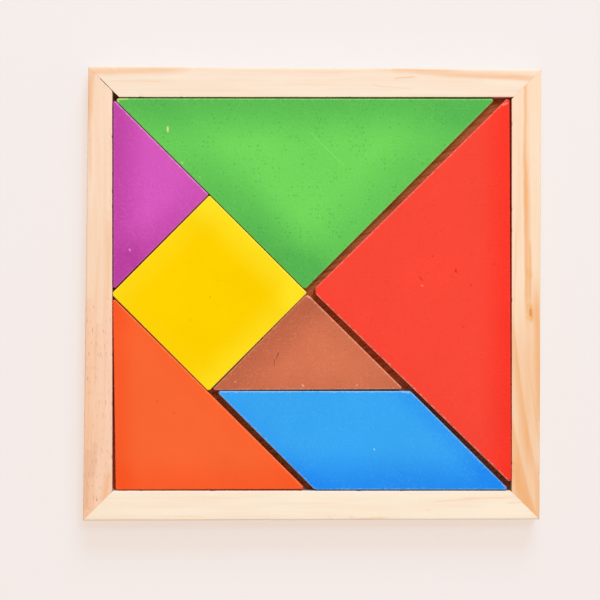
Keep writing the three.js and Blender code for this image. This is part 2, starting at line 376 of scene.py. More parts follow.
def make_scuff_group(name):
    """One scratch, knot or spot of wear between two points, laid over a colour."""
    tree, given, out = group(
        name,
        {"colour": ("Colour", "Tint"), "vector": ("Position", "Start", "End"),
         "value": ("Width", "Strength")},
        {"colour": ("Colour",)},
    )
    flat = vector(tree, "MULTIPLY", given["Position"], (1.0, 1.0, 0.0))
    run = vector(tree, "SUBTRACT", given["End"], given["Start"])
    away = vector(tree, "SUBTRACT", flat, given["Start"])
    share = calc(tree, "DIVIDE", dot(tree, away, run), dot(tree, run, run), clamp=True)
    nearest = scaled(tree, run, share)
    gap = vector(tree, "LENGTH", vector(tree, "SUBTRACT", away, nearest), output="Value")
    ragged = line(tree, speckle(tree, given["Position"], 2.6), 0.0, 1.0, 0.25, 1.75)
    reach = times(tree, given["Width"], ragged)
    mask = ramp(tree, gap, reach, times(tree, reach, 0.35))
    share = times(tree, mask, given["Strength"])
    feed(tree, out, {"Colour": mix(tree, share, given["Colour"], given["Tint"])})


def make_side_group(name):
    """One side of a tan: painted shade near it (painted light on the yellow square), and a pale edge along it
    that is partly rubbed paint and partly a painted highlight.
    """
    tree, given, out = group(
        name,
        {"vector": ("Position", "Side", "Shading And Pale Edge", "Fade"), "value": ("Ragged", "Edge Shading Share", "Wear And Highlight")},
        {"value": ("Edge Shading Share", "Wear And Highlight")},
    )
    spot = split(tree, given["Position"])
    flat = join(tree, spot[0], spot[1], 1.0)
    gap = dot(tree, flat, given["Side"])
    shading_share, reach, wear_and_highlight = split(tree, given["Shading And Pale Edge"])
    # Painted shade: the share of the edge colour, changed along the side by its fade and gone at its reach in
    # from the side
    share = times(tree, line(tree, dot(tree, flat, given["Fade"]), 0.0, 1.0), shading_share)
    shade = times(tree, ramp(tree, gap, reach, 0.0), share)
    # Pale edge near the side: partly rubbed paint, partly a painted highlight
    rubbed_and_highlit = ramp(tree, calc(tree, "ADD", gap, given["Ragged"]), PALE_EDGE_END, PALE_EDGE_WHOLE)
    feed(tree, out, {
        "Edge Shading Share": calc(tree, "ADD", given["Edge Shading Share"], shade),
        "Wear And Highlight": calc(tree, "MAXIMUM", given["Wear And Highlight"], times(tree, rubbed_and_highlit, wear_and_highlight)),
    })


def strokes(tree, place, sizes, shift):
    """Mask of fibre strokes, moved so that they don't follow other strokes of the same paint."""
    place = vector(tree, "ADD", place, shift)
    return place_group(tree, "Fibre Strokes", {"Position": place, **sizes})["Mask"]


def make_paint_group(name):
    """Thin satin paint on fibreboard: fibres, specks, cloudy tone, painted shade near the edges, and pale
    edges that are partly rubbed paint and partly a painted highlight.
    """
    tree, given, out = group(
        name,
        {"vector": ("Position",), "colour": ("Paint", "Edge Shading", "Pale", "Dark", "Rubbed And Highlit"),
         "value": ("Edge Shading Share", "Wear And Highlight", "Top", "Grain", "Fibres", "Specks")},
        FINISH,
    )
    place = given["Position"]
    long_ones = strokes(tree, place, LONG_FIBRES, (0.0, 0.0, 0.0))
    short_ones = strokes(tree, place, SHORT_FIBRES, (13.7, 5.1, 2.2))
    fibre = calc(tree, "MAXIMUM", long_ones, times(tree, short_ones, 0.7))
    fibre = times(tree, fibre, ramp(tree, speckle(tree, place, 0.16), 0.3, 0.62))
    pit = strokes(tree, place, PITS, (3.3, 17.9, 8.4))
    pit = times(tree, pit, ramp(tree, speckle(tree, place, 0.22), 0.36, 0.66))

    cloud = line(tree, speckle(tree, place, 0.07, 3.0), 0.25, 0.75, 0.965, 1.035)
    fine = line(tree, speckle(tree, place, 2.4, 3.0, 0.7), 0.25, 0.75, -1.0, 1.0)
    grain = calc(tree, "MULTIPLY_ADD", fine, given["Grain"], 1.0)
    # Paint turns to the edge colour by the shading share: painted shade near the rails and seams, painted
    # light on the yellow square
    shading_share = calc(tree, "MINIMUM", given["Edge Shading Share"], 1.0)
    colour = scaled(tree, mix(tree, shading_share, given["Paint"], given["Edge Shading"]), times(tree, cloud, grain))
    colour = mix(tree, times(tree, fibre, given["Fibres"]), colour, given["Pale"])
    colour = mix(tree, times(tree, pit, given["Specks"]), colour, given["Dark"])
    # The pale edge shows only near the top: partly rubbed paint, partly a painted highlight of the rounded
    # edge
    below = calc(tree, "SUBTRACT", given["Top"], split(tree, place)[2])
    rubbed_and_highlit = times(tree, given["Wear And Highlight"], ramp(tree, below, PALE_EDGE_END, PALE_EDGE_WHOLE))

    rough = calc(tree, "MULTIPLY_ADD", fibre, FIBRE_ROUGHNESS, PAINT_ROUGHNESS)
    rough = calc(tree, "MULTIPLY_ADD", rubbed_and_highlit, RUBBED_ROUGHNESS, rough)
    relief = calc(tree, "MULTIPLY_ADD", fibre, FIBRE_HEIGHT, times(tree, fine, FINE_HEIGHT))
    feed(tree, out, {
        "Colour": mix(tree, rubbed_and_highlit, colour, given["Rubbed And Highlit"]),
        "Roughness": calc(tree, "MULTIPLY_ADD", fine, FINE_ROUGHNESS, rough),
        "Height": calc(tree, "MULTIPLY_ADD", pit, PIT_HEIGHT, relief),
    })


def make_run_group(name):
    """Place on a rail: along it, across it from the well outwards, and down from its top face."""
    tree, given, out = group(
        name, {"vector": ("Position", "Along", "Across"), "value": ("Face", "Wander")},
        {"value": ("Along", "Across", "Down")},
    )
    along = dot(tree, given["Position"], given["Along"])
    across = calc(tree, "SUBTRACT", dot(tree, given["Position"], given["Across"]), given["Face"])
    down = calc(tree, "SUBTRACT", RIM, split(tree, given["Position"])[2])
    bend = speckle(tree, join(tree, times(tree, along, 0.035), given["Face"], 0.0))
    small = speckle(tree, stretched(tree, (along, across, down), (0.3, 0.5, 1.0)))
    drift = times(tree, calc(tree, "SUBTRACT", bend, 0.5), given["Wander"])
    ripple = times(tree, calc(tree, "SUBTRACT", small, 0.5), 0.35)
    across = fold(tree, "ADD", across, drift, ripple)
    leaning = calc(tree, "MULTIPLY_ADD", down, RING_LEAN, across)
    feed(tree, out, {"Along": along, "Across": leaning, "Down": down})


def make_streak_group(name):
    """One streak of late wood between two points of a rail, each side with its own softness."""
    tree, given, out = group(
        name, {"value": ("Mask", "Along", "Across", *STREAK)}, {"value": ("Mask",)}
    )
    along, start, end = given["Along"], given["From"], given["To"]
    share = line(tree, along, start, end)
    slack = times(tree, share, calc(tree, "SUBTRACT", 1.0, share), 4.0)
    centre = line(tree, share, 0.0, 1.0, given["Across From"], given["Across To"])
    centre = calc(tree, "MULTIPLY_ADD", slack, given["Bow"], centre)
    off = calc(tree, "SUBTRACT", given["Across"], centre)
    inner = ramp(tree, times(tree, off, -1.0), given["Inner"], 0.0)
    outer = ramp(tree, off, given["Outer"], 0.0)
    fade = times(tree, calc(tree, "SUBTRACT", end, start), 0.22)
    half = times(tree, fade, 0.5)
    begun = ramp(tree, along, calc(tree, "SUBTRACT", start, half), calc(tree, "ADD", start, fade))
    going = ramp(tree, along, calc(tree, "ADD", end, half), calc(tree, "SUBTRACT", end, fade))
    mask = times(tree, inner, outer, begun, going, given["Strength"])
    over = times(tree, calc(tree, "SUBTRACT", 1.0, given["Mask"]), mask)
    feed(tree, out, {"Mask": calc(tree, "ADD", given["Mask"], over)})


def make_pine_group(name):
    """Planed pine: late wood, faint growth lines, fine grain and dark flecks."""
    tree, given, out = group(
        name,
        {"value": ("Along", "Across", "Down", "Late", "Rings", "Flecks"),
         "colour": ("Early Wood", "Late Wood", "Fleck")},
        FINISH,
    )
    run = given["Along"], given["Across"], given["Down"]
    grain = speckle(tree, stretched(tree, run, PINE_GRAIN), 1.0, 4.0, 0.6)
    cloud = speckle(tree, stretched(tree, run, PINE_CLOUDS))
    ring = calc(tree, "FRACT", times(tree, given["Across"], RINGS_PER_MM))
    ring = times(tree, ramp(tree, ring, 0.2, 0.9), ramp(tree, ring, 1.0, 0.9))
    ring = times(tree, ring, given["Rings"], ramp(tree, cloud, 0.35, 0.65))
    late = calc(tree, "ADD", given["Late"], ring, clamp=True)
    colour = mix(tree, late, given["Early Wood"], given["Late Wood"])
    colour = mix(tree, line(tree, cloud, 0.3, 0.7, 0.0, 0.14), colour, given["Late Wood"])
    colour = scaled(tree, colour, line(tree, grain, 0.25, 0.75, 0.965, 1.025))

    away, chance = nearest_cell(tree, stretched(tree, run, FLECK_CELLS))
    along, across = (calc(tree, "ABSOLUTE", gap) for gap in split(tree, away)[:2])
    half = line(tree, chance[1], 0.0, 1.0, 0.12, 0.42)
    thin = line(tree, chance[2], 0.0, 1.0, 0.07, 0.15)
    dash = times(tree, ramp(tree, along, half, 0.02), ramp(tree, across, thin, 0.02))
    dash = times(tree, dash, line(tree, chance[0], 0.0, 0.6, 0.9, 0.0), given["Flecks"])
    relief = calc(tree, "MULTIPLY_ADD", late, LATE_HEIGHT, grain)
    feed(tree, out, {
        "Colour": mix(tree, dash, colour, given["Fleck"]),
        "Roughness": calc(tree, "MULTIPLY_ADD", grain, GRAIN_ROUGHNESS, PINE_ROUGHNESS),
        "Height": calc(tree, "MULTIPLY_ADD", dash, FLECK_HEIGHT, relief),
    })


def make_veneer_group(name):
    """Reddish face veneer: slanting stripes, pores and the plies that show at its edges."""
    tree, given, out = group(
        name,
        {"vector": ("Position",), "colour": ("Face", "Grain"), "value": ("Slant", "Bottom", "Thickness")},
        FINISH,
    )
    turned = add(tree, "ShaderNodeVectorRotate", {"Vector": given["Position"], "Angle": given["Slant"]})
    spot = split(tree, turned.outputs[0])
    stripe = speckle(tree, stretched(tree, spot, VENEER_STRIPES), 1.0, 3.0, 0.6)
    pore = ramp(tree, speckle(tree, stretched(tree, spot, VENEER_PORES)), 0.56, 0.68)
    share = calc(tree, "DIVIDE", calc(tree, "SUBTRACT", spot[2], given["Bottom"]), given["Thickness"])
    ply = times(tree, ramp(tree, share, PLY_LOW - PLY_BLUR, PLY_LOW),
                ramp(tree, share, PLY_HIGH + PLY_BLUR, PLY_HIGH))
    stripes = ramp(tree, stripe, 0.42, 0.66)
    dark = fold(tree, "MAXIMUM", stripes, times(tree, pore, 0.25), times(tree, ply, 0.7))
    feed(tree, out, {
        "Colour": mix(tree, dark, given["Face"], given["Grain"]),
        "Roughness": calc(tree, "MULTIPLY_ADD", dark, STRIPE_ROUGHNESS, VENEER_ROUGHNESS),
        "Height": calc(tree, "MULTIPLY_ADD", pore, PORE_HEIGHT, stripe),
    })


def new_material(name, specular, bump, depth):
    """Material with a Principled shader and a bump, the sockets that a pattern feeds, and the place in mm."""
    material = bpy.data.materials.new(name)
    material.use_nodes = True
    tree = material.node_tree
    shader = tree.nodes["Principled BSDF"].inputs
    shader["Specular IOR Level"].default_value = specular
    relief = add(tree, "ShaderNodeBump", {"Strength": bump, "Distance": depth * MM})
    tree.links.new(relief.outputs[0], shader["Normal"])
    place = scaled(tree, add(tree, "ShaderNodeTexCoord").outputs["Object"], 1 / MM)
    return material, tree, shader, relief.inputs["Height"], place


def lay_marks(tree, colour, place, marks):
    """Lays knots, scratches or spots over a colour, one after the other."""
    for start, end, width, tint, strength in marks:
        colour = place_group(tree, "Scuff", {
            "Colour": colour, "Position": place, "Start": (*start, 0.0), "End": (*end, 0.0), "Width": width,
            "Tint": rgba(tint), "Strength": strength,
        })["Colour"]
    return colour


def finish_material(tree, shader, height, colour, effect):
    """Feeds a colour, and the roughness and height of an effect, to the shader."""
    sockets = {"Colour": shader["Base Color"], "Roughness": shader["Roughness"], "Height": height}
    results = {"Colour": colour, "Roughness": effect["Roughness"], "Height": effect["Height"]}
    feed(tree, sockets, results)


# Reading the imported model, and finished pieces

# A side of a piece counts as straight from this length, and shorter ones belong to a rounded corner
STRAIGHT_SIDE = 2.5


def node_points(name):
    """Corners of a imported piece, each once, in millimetres."""
    seen = {tuple(round(c / MM, 4) for c in vertex.co): None for vertex in frame["nodes"][name].data.vertices}
    return [Vector(point) for point in seen]


def cross(first, second):
    """Turn from one flat vector to another."""
    return first.x * second.y - first.y * second.x


def outline_of(name):
    """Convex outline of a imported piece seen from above, counter-clockwise."""
    points = sorted({(round(p.x, 4), round(p.y, 4)) for p in node_points(name)})
    halves = []
    for run in (points, points[::-1]):
        half = []
        for point in map(Vector, run):
            while len(half) > 1 and cross(half[-1] - half[-2], point - half[-1]) <= 0:
                half.pop()
            half.append(point)
        halves += half[:-1]
    return halves


def sharp_corners(name):
    """Corners of a piece before rounding, with the radius of each, counter-clockwise."""
    outline = outline_of(name)
    sides = [(a, b) for a, b in zip(outline, outline[1:] + outline[:1]) if (b - a).length > STRAIGHT_SIDE]
    corners = []
    for (start, end), (after, far) in zip(sides[-1:] + sides[:-1], sides):
        into, away = (end - start).normalized(), (far - after).normalized()
        share = cross(after - end, away) / cross(into, away)
        half = (math.pi - into.angle(away)) / 2
        corners.append((end + into * share, abs(share) * math.tan(half)))
    return corners


def body_of(name):
    """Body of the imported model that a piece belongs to."""
    bodies = frame["record"]["behaviour"]["bodies"]
    return next(body for body, members in bodies.items() if name in members)


def dress(piece, name):
    """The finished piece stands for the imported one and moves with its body."""
    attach(piece, body_of(name))
    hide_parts(name)


def new_object(name, data):
    """Object at the origin, in the scene."""
    piece = bpy.data.objects.new(name, data)
    bpy.context.scene.collection.objects.link(piece)
    return piece


def shaped_object(name, shape):
    """Object with the faces of a bmesh, which is freed."""
    mesh = bpy.data.meshes.new(name)
    shape.to_mesh(mesh)
    shape.free()
    return new_object(name, mesh)


def bake_modifiers(piece):
    """Turns a piece with modifiers into a plain mesh and removes them."""
    shaped = piece.evaluated_get(bpy.context.evaluated_depsgraph_get())
    mesh = bpy.data.meshes.new_from_object(shaped)
    piece.modifiers.clear()
    old = piece.data
    piece.data = mesh
    bpy.data.meshes.remove(old)


def shade_smooth(piece):
    """Smooth shading on all faces."""
    piece.data.polygons.foreach_set("use_smooth", [True] * len(piece.data.polygons))


# Sawn blanks: the tans and the base board

# What a blank is given, and the kind of each input
BLANK_INPUTS = {
    "Geometry": "Geometry", "Underside": "Float", "Thickness": "Float", "Edge Step": "Float",
    "Corner Steps": "Int", "Material": "Material",
}

# Points nearer than this many metres become one
MERGE_DISTANCE = 1e-7

# Edges sharper than this angle are rounded, in so many steps
ARRIS_ANGLE = math.radians(50)
ARRIS_STEPS = 4

# How much more the broad faces count for the shading, where 50 is neutral
FLAT_WEIGHT = 100

# Knocked edges: how close together the broad and the small knocks lie, what a small one counts, how
# weak a knock leaves no mark, and how much of a push goes down
BROAD_KNOCKS, SMALL_KNOCKS = 0.9, 2.3
SMALL_SHARE, WEAK_KNOCK, DOWN_SHARE = 0.6, 0.15, 0.4
SMALL_SHIFT = Vector((9, 4, 1))


def geometry(tree, kind, inputs=None, **settings):
    """Result of a geometry node."""
    return add(tree, "GeometryNode" + kind, inputs, **settings).outputs[0]


def make_blank_tree(name):
    """Geometry nodes: a ring of corners becomes a board with rounded corners and points along its edges."""
    tree = bpy.data.node_groups.new(name, "GeometryNodeTree")
    for label, kind in BLANK_INPUTS.items():
        tree.interface.new_socket(name=label, in_out="INPUT", socket_type="NodeSocket" + kind)
    tree.interface.new_socket(name="Geometry", in_out="OUTPUT", socket_type="NodeSocketGeometry")
    given = tree.nodes.new("NodeGroupInput").outputs
    ring = geometry(tree, "MeshToCurve", {"Mesh": given["Geometry"]})
    radius = geometry(tree, "InputNamedAttribute", {"Name": "corner_radius"})
    ring = geometry(
        tree, "FilletCurve", {"Curve": ring, "Radius": radius, "Count": given["Corner Steps"]}, mode="POLY"
    )
    place = geometry(tree, "InputPosition")
    after = add(tree, "GeometryNodeOffsetPointInCurve", {"Offset": 1}).outputs["Point Index"]
    ahead = geometry(
        tree, "FieldAtIndex", {"Value": place, "Index": after}, data_type="FLOAT_VECTOR", domain="POINT"
    )
    span = vector(tree, "DISTANCE", place, ahead, output="Value")
    cuts = calc(tree, "FLOOR", calc(tree, "DIVIDE", span, given["Edge Step"]))
    ring = geometry(tree, "SubdivideCurve", {"Curve": ring, "Cuts": cuts})
    face = geometry(tree, "FillCurve", {"Curve": ring}, mode="NGONS")
    rise = join(tree, 0.0, 0.0, given["Underside"])
    face = geometry(tree, "SetPosition", {"Geometry": face, "Offset": rise})
    raised = geometry(
        tree, "ExtrudeMesh", {"Mesh": face, "Offset Scale": given["Thickness"], "Individual": False}
    )
    under = geometry(tree, "FlipFaces", {"Mesh": face})
    whole = geometry(tree, "JoinGeometry", {0: raised})
    tree.links.new(under, whole.node.inputs[0])
    whole = geometry(tree, "MergeByDistance", {"Geometry": whole, "Distance": MERGE_DISTANCE})
    whole = geometry(tree, "RealizeInstances", {"Geometry": whole})
    whole = geometry(tree, "SetMaterial", {"Geometry": whole, "Material": given["Material"]})
    feed(tree, tree.nodes.new("NodeGroupOutput").inputs, {"Geometry": whole})


# What materials and blanks are made of. The paint needs the fibres, so they come first
NODE_GROUPS = {
    "Fibre Strokes": make_fibre_group, "Scuff": make_scuff_group, "Tan Side": make_side_group,
    "Thin Paint": make_paint_group, "Rail Run": make_run_group, "Late Wood Streak": make_streak_group,
    "Planed Pine": make_pine_group, "Red Veneer": make_veneer_group, "Sawn Blank": make_blank_tree,
}


def make_node_groups():
    """Makes the node groups that aren't there yet."""
    for name, make in NODE_GROUPS.items():
        if name not in bpy.data.node_groups:
            make(name)


def sawn_blank(label, name, corners, material, arris, edge_step, corner_steps):
    """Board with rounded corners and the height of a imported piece, its edges rounded."""
    low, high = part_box(name)
    mesh = bpy.data.meshes.new(label)
    points = [(corner.x * MM, corner.y * MM, 0.0) for corner, _ in corners]
    edges = [(i, (i + 1) % len(points)) for i in range(len(points))]
    mesh.from_pydata(points, edges, [])
    radii = mesh.attributes.new("corner_radius", "FLOAT", "POINT")
    radii.data.foreach_set("value", [radius * MM for _, radius in corners])
    piece = new_object(label, mesh)
    blank = piece.modifiers.new("Sawn Blank", "NODES")
    blank.node_group = bpy.data.node_groups["Sawn Blank"]
    values = {
        "Underside": low.z, "Thickness": high.z - low.z, "Edge Step": edge_step * MM,
        "Corner Steps": corner_steps, "Material": material,
    }
    for socket in blank.node_group.interface.items_tree:
        if socket.name in values:
            blank[socket.identifier] = values[socket.name]
    bevel = piece.modifiers.new("Arris", "BEVEL")
    bevel.width = arris * MM
    bevel.segments = ARRIS_STEPS
    bevel.limit_method = "ANGLE"
    bevel.angle_limit = ARRIS_ANGLE
    bevel.use_clamp_overlap = False
    bake_modifiers(piece)
    return piece


def smooth_faces(piece):
    """Smooth shading that keeps broad flat faces flat."""
    shade_smooth(piece)
    weighted = piece.modifiers.new("Flat Faces", "WEIGHTED_NORMAL")
    weighted.weight = FLAT_WEIGHT
    bake_modifiers(piece)


def knock_edges(piece, name, depth):
    """Pushes the edges of a tan in a little here and there, as use does."""
    low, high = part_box(name)
    middle = (low + high) / 2
    for vertex in piece.data.vertices:
        place = vertex.co / MM
        rough = noise.noise(place * BROAD_KNOCKS)
        rough += SMALL_SHARE * noise.noise(place * SMALL_KNOCKS + SMALL_SHIFT)
        push = max(0.0, rough - WEAK_KNOCK) * depth * MM
        away = Vector((middle.x - vertex.co.x, middle.y - vertex.co.y, 0)).normalized()
        vertex.co += away * push
        if vertex.co.z > middle.z:
            vertex.co.z -= push * DOWN_SHARE


# Tray

Rail = namedtuple("Rail", "along across first last seed")
Mitre = namedtuple("Mitre", "corner inward width out opened")
Nick = namedtuple("Nick", "run outer reach depth")

# Each rail: the ways along it and out across it, its two mitred ends, and the seed of its nicks. An end
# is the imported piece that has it, the axis along that, and the sign of the end. Both lengths of the left
# rail are cut from one.
LEFT_RAIL = Rail((0, -1, 0), (-1, 0, 0), ("left_rail_upper", Y, 1), ("left_rail_lower", Y, -1), 4)
RAILS = {
    "top_rail": Rail((1, 0, 0), (0, 1, 0), ("top_rail", X, -1), ("top_rail", X, 1), 1),
    "right_rail": Rail((0, -1, 0), (1, 0, 0), ("right_rail", Y, 1), ("right_rail", Y, -1), 2),
    "bottom_rail": Rail((1, 0, 0), (0, -1, 0), ("bottom_rail", X, -1), ("bottom_rail", X, 1), 3),
    "left_rail_upper": LEFT_RAIL,
    "left_rail_lower": LEFT_RAIL,
}
OPENED_ENDS = (RAILS["top_rail"].first, LEFT_RAIL.first)

# Corners of an imported rail that belong to its end lie this near it, and those of its well face lie at
# least so far over the board
END_ZONE = 10.0
OVER_BOARD = 1.0

# Points of a section: steps across its top face, shares of the height on its outer face, and how far
# under the rim the well face has one
TOP_STEPS = 14
OUTER_SHARES = (0.75, 0.5, 0.25)
WELL_POINT = 2.0

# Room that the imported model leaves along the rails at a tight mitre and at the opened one
TIGHT_MITRE, OPEN_MITRE = 0.05, 0.2

# Share of its room that the opened mitre keeps. It opens between two distances in from the outer corner,
# and between two depths under the rim
GAPE = 0.6
GAPE_FROM, GAPE_WHOLE = 2.7, 3.2
GAPE_DEEP, GAPE_SHALLOW = 4.5, 3.0

# Splinters that narrow it: how close together they lie, their place in the noise, and the noise at which
# a splinter is whole and that at which it ends
SPLINTERS = 1.7
SPLINTER_PLACE = (3.1, 0.4)
SPLINTER_WHOLE, SPLINTER_END = -0.6, -0.1

# Places in the section of a rail, from -1 to 1: nicks lie above the first and outside the second, and
# sanding works on the top face above the third and on the sides outside the fourth
NICK_LIFT, NICK_ASIDE = 0.85, 0.8
TOP_LIFT, FACE_ASIDE = 0.9, 0.85

# Broad and fine waves of the sanding: how close together they lie along a rail, across it and up it, how
# far up the fine ones are moved so that they don't follow the broad ones, and what they count
BROAD_WAVES, FINE_WAVES = (0.11, 1.5, 2), (0.6, 4, 5)
FINE_SHIFT = 3
FINE_SHARE = 0.3

# Nicks of a rail: how many, and the least and the most for the share of its length where one lies, for
# how far one reaches, and for its share of the full depth
NICKS = 9
NICK_SPOTS, NICK_REACHES, NICK_DEPTHS = (0.03, 0.97), (0.35, 0.9), (0.3, 1.0)

# The finger joint: its glue, how far over the lower length its corners are looked for, and how far the
# cutter goes past the sides of the rail, past its top and foot, and from the middle of the tray
FINGER_GLUE = 0.015
FINGER_ZONE = 1.0
CUTTER_SIDE, CUTTER_FACE, CUTTER_FAR = 4.0, 5.0, 80.0

# Edges of a rail sharper than this stay crisp
CRISP_ANGLE = math.radians(35)

# How far the grain of a rail strays across it
WANDER = 1.2

# Slant of the stripes of the base board, spacing of the points along its edges, and steps round a corner
VENEER_SLANT = math.radians(-17)
BOARD_STEP = 3.0
BOARD_CORNER_STEPS = 3

# Streaks of late wood, with the values that STREAK names
STREAKS = {
    "top_rail": (
        (-62, -32, 6.4, 6.9, 0.0, 1.5, 1.6, 0.45),
        (-62, -22, 7.9, 7.6, 0.0, 1.2, 0.6, 0.26),
        (-52, -36, 4.2, 4.1, 0.1, 0.3, 0.2, 0.22),
        (14, 62, 7.1, 3.8, 0.2, 1.1, 2.4, 0.42),
        (30, 62, 5.3, 4.4, 0.1, 0.8, 1.2, 0.3),
        (-62, 30, 7.6, 7.4, 0.0, 2.4, 1.2, 0.1),
        (19, 37, 7.1, 6.7, 0.0, 0.5, 0.6, 0.45),
        (20.5, 26.5, 4.6, 5.0, 0.1, 0.25, 0.4, 0.55),
        (14, 26, 2.9, 2.0, 0.0, 0.3, 0.18, 0.32),
        (-8, 14, 3.4, 2.9, 0.1, 0.3, 0.2, 0.14),
    ),
    "bottom_rail": (
        (-41, -27, 6.5, 6.7, 0.0, 0.4, 0.3, 0.2),
        (11, 19, 7.0, 6.6, 0.0, 0.4, 0.4, 0.36),
        (28.8, 30.2, 4.9, 4.9, 0.0, 0.16, 0.16, 0.5),
        (31, 43, 2.8, 2.2, 0.0, 0.25, 0.16, 0.4),
        (37, 51, 2.1, 1.6, 0.0, 0.3, 0.18, 0.36),
        (49, 55, 3.0, 2.7, 0.0, 0.25, 0.2, 0.42),
        (-20, 8, 3.7, 3.1, 0.2, 0.5, 0.2, 0.1),
        (-66, -8, 7.4, 7.4, 0.0, 2.2, 1.4, 0.12),
    ),
    "left_rail_upper": (
        (-62, -44, 4.6, 5.4, 0.1, 1.0, 1.4, 0.5),
        (-58, -28, 5.9, 5.6, 0.0, 1.0, 0.9, 0.4),
        (-20, 14, 0.4, 1.2, 0.2, 0.9, 1.8, 0.3),
        (-22, 24, 3.8, 3.8, 0.0, 9.0, 9.0, 0.16),
        (-12, 8, 3.4, 4.4, 0.0, 0.5, 0.3, 0.22),
        (-44, -20, 0.4, 0.5, 0.0, 0.2, 0.25, 0.32),
        (-40, -22, 3.4, 3.0, 0.2, 0.25, 0.2, 0.2),
    ),
    "left_rail_lower": (
        (30, 60, 5.4, 5.7, 0.0, 0.9, 0.4, 0.3),
        (34, 60, 4.4, 4.9, 0.2, 0.7, 0.3, 0.25),
        (32, 60, 6.6, 6.8, 0.0, 0.7, 0.3, 0.2),
        (45, 55, 1.0, 2.6, 0.1, 1.3, 1.3, 0.4),
        (-2, 24, 3.2, 4.6, 0.1, 0.6, 0.25, 0.3),
        (8, 34, 1.5, 2.2, 0.1, 0.4, 0.2, 0.25),
        (18, 42, 5.8, 6.3, 0.1, 0.4, 0.2, 0.3),
        (4, 66, 6.4, 6.6, 0.0, 2.6, 3.0, 0.24),
    ),
    "right_rail": (
        (-62, -14, 3.3, 3.4, 0.0, 0.7, 0.75, 0.62),
        (-36, 7, 3.3, 3.6, 0.0, 0.6, 1.8, 0.75),
        (-14, 3, 4.4, 4.6, 0.1, 0.5, 0.6, 0.7),
        (-3, 36, 6.0, 7.4, 0.0, 2.0, 1.8, 0.7),
        (2.8, 7.0, 4.8, 5.0, 0.0, 0.7, 0.7, 0.95),
        (5, 47, 0.0, 6.4, -0.6, 2.6, 0.6, 0.6),
        (29, 62, -0.6, 7.6, -0.5, 3.2, 0.8, 0.6),
        (40, 62, -0.5, 6.4, -0.3, 3.0, 2.6, 0.7),
        (20, 40, 4.6, 7.4, 0.0, 0.4, 0.3, 0.4),
        (4, 70, 3.6, 4.2, 0.0, 8.0, 8.0, 0.42),
        (-20, 10, 1.2, 0.4, 0.0, 0.4, 0.3, 0.3),
        (43, 66, 6.8, 7.4, 0.0, 1.8, 2.0, 0.5),
    ),
}

# Knots and resin stains: start and end in millimetres, width, colour and strength
KNOTS = {
    "right_rail": (
        ((55.1, -3.2), (55.4, -6.2), 1.3, srgb(243, 180, 112), 0.55),
        ((55.4, -4.1), (55.4, -5.4), 0.5, srgb(210, 134, 66), 0.65),
        ((54.9, 5.8), (55.2, 4.4), 1.1, srgb(242, 178, 112), 0.5),
    ),
    "left_rail_lower": (
        ((-55.1, -38.6), (-55.8, -46.0), 1.2, srgb(206, 156, 130), 0.22),
        ((-56.9, -40.0), (-57.3, -54.0), 1.0, srgb(214, 160, 130), 0.3),
        ((-54.6, -52.1), (-54.6, -52.4), 0.2, srgb(120, 76, 58), 0.7),
    ),
}

# Early wood of each rail where it isn't the pale pine of the tray, how much its growth lines show, and how
# many flecks it has
STOCK = {
    "top_rail": (None, 0.08, 0.05),
    "right_rail": (srgb(252, 224, 196), 0.12, 0.05),
    "bottom_rail": (srgb(255, 239, 219), 0.06, 0.05),
    "left_rail_upper": (srgb(251, 222, 199), 0.12, 0.2),
    "left_rail_lower": (srgb(251, 209, 183), 0.12, 1.0),
}


def well_face(name, across):
    """How far out the well face of a rail lies."""
    upper = (point for point in node_points(name) if point.z > BOARD_HIGH + OVER_BOARD)
    return min(point.dot(Vector(across)) for point in upper)


def pine_material(name, tray):
    """Pine of one rail, with its own streaks and knots."""
    material, tree, shader, height, place = new_material("pine_" + name, specular=0.2, bump=0.25, depth=0.06)
    rail = RAILS[name]
    early, rings, flecks = STOCK[name]
    run = place_group(tree, "Rail Run", {
        "Position": place, "Along": rail.along, "Across": rail.across, "Face": well_face(name, rail.across),
        "Wander": WANDER,
    })
    late = 0.0
    for values in STREAKS[name]:
        streak = {"Mask": late, "Along": run["Along"], "Across": run["Across"], **dict(zip(STREAK, values))}
        late = place_group(tree, "Late Wood Streak", streak)["Mask"]
    pine = place_group(tree, "Planed Pine", {
        "Along": run["Along"], "Across": run["Across"], "Down": run["Down"], "Late": late,
        "Early Wood": rgba(early or tray.pine_pale), "Late Wood": rgba(tray.pine_late),
        "Fleck": rgba(tray.pine_fleck), "Rings": rings, "Flecks": flecks,
    })
    colour = lay_marks(tree, pine["Colour"], place, KNOTS.get(name, ()))
    finish_material(tree, shader, height, colour, pine)
    return material


def plywood_material(tray):
    """Plywood of the base board."""
    material, tree, shader, height, place = new_material("red_plywood", specular=0.2, bump=0.3, depth=0.08)
    veneer = place_group(tree, "Red Veneer", {
        "Position": place, "Slant": VENEER_SLANT, "Face": rgba(tray.ply_face), "Grain": rgba(tray.ply_dark),
        "Bottom": BOARD_LOW, "Thickness": BOARD_HIGH - BOARD_LOW,
    })
    finish_material(tree, shader, height, veneer["Colour"], veneer)
    return material


def arc(middle, radius, start, end, steps=5):
    """Points of a rounded edge in a section, in degrees."""
    turns = [math.radians(start + (end - start) * i / steps) for i in range(steps + 1)]
    return [(middle[0] + radius * math.cos(t), middle[1] + radius * math.sin(t)) for t in turns]


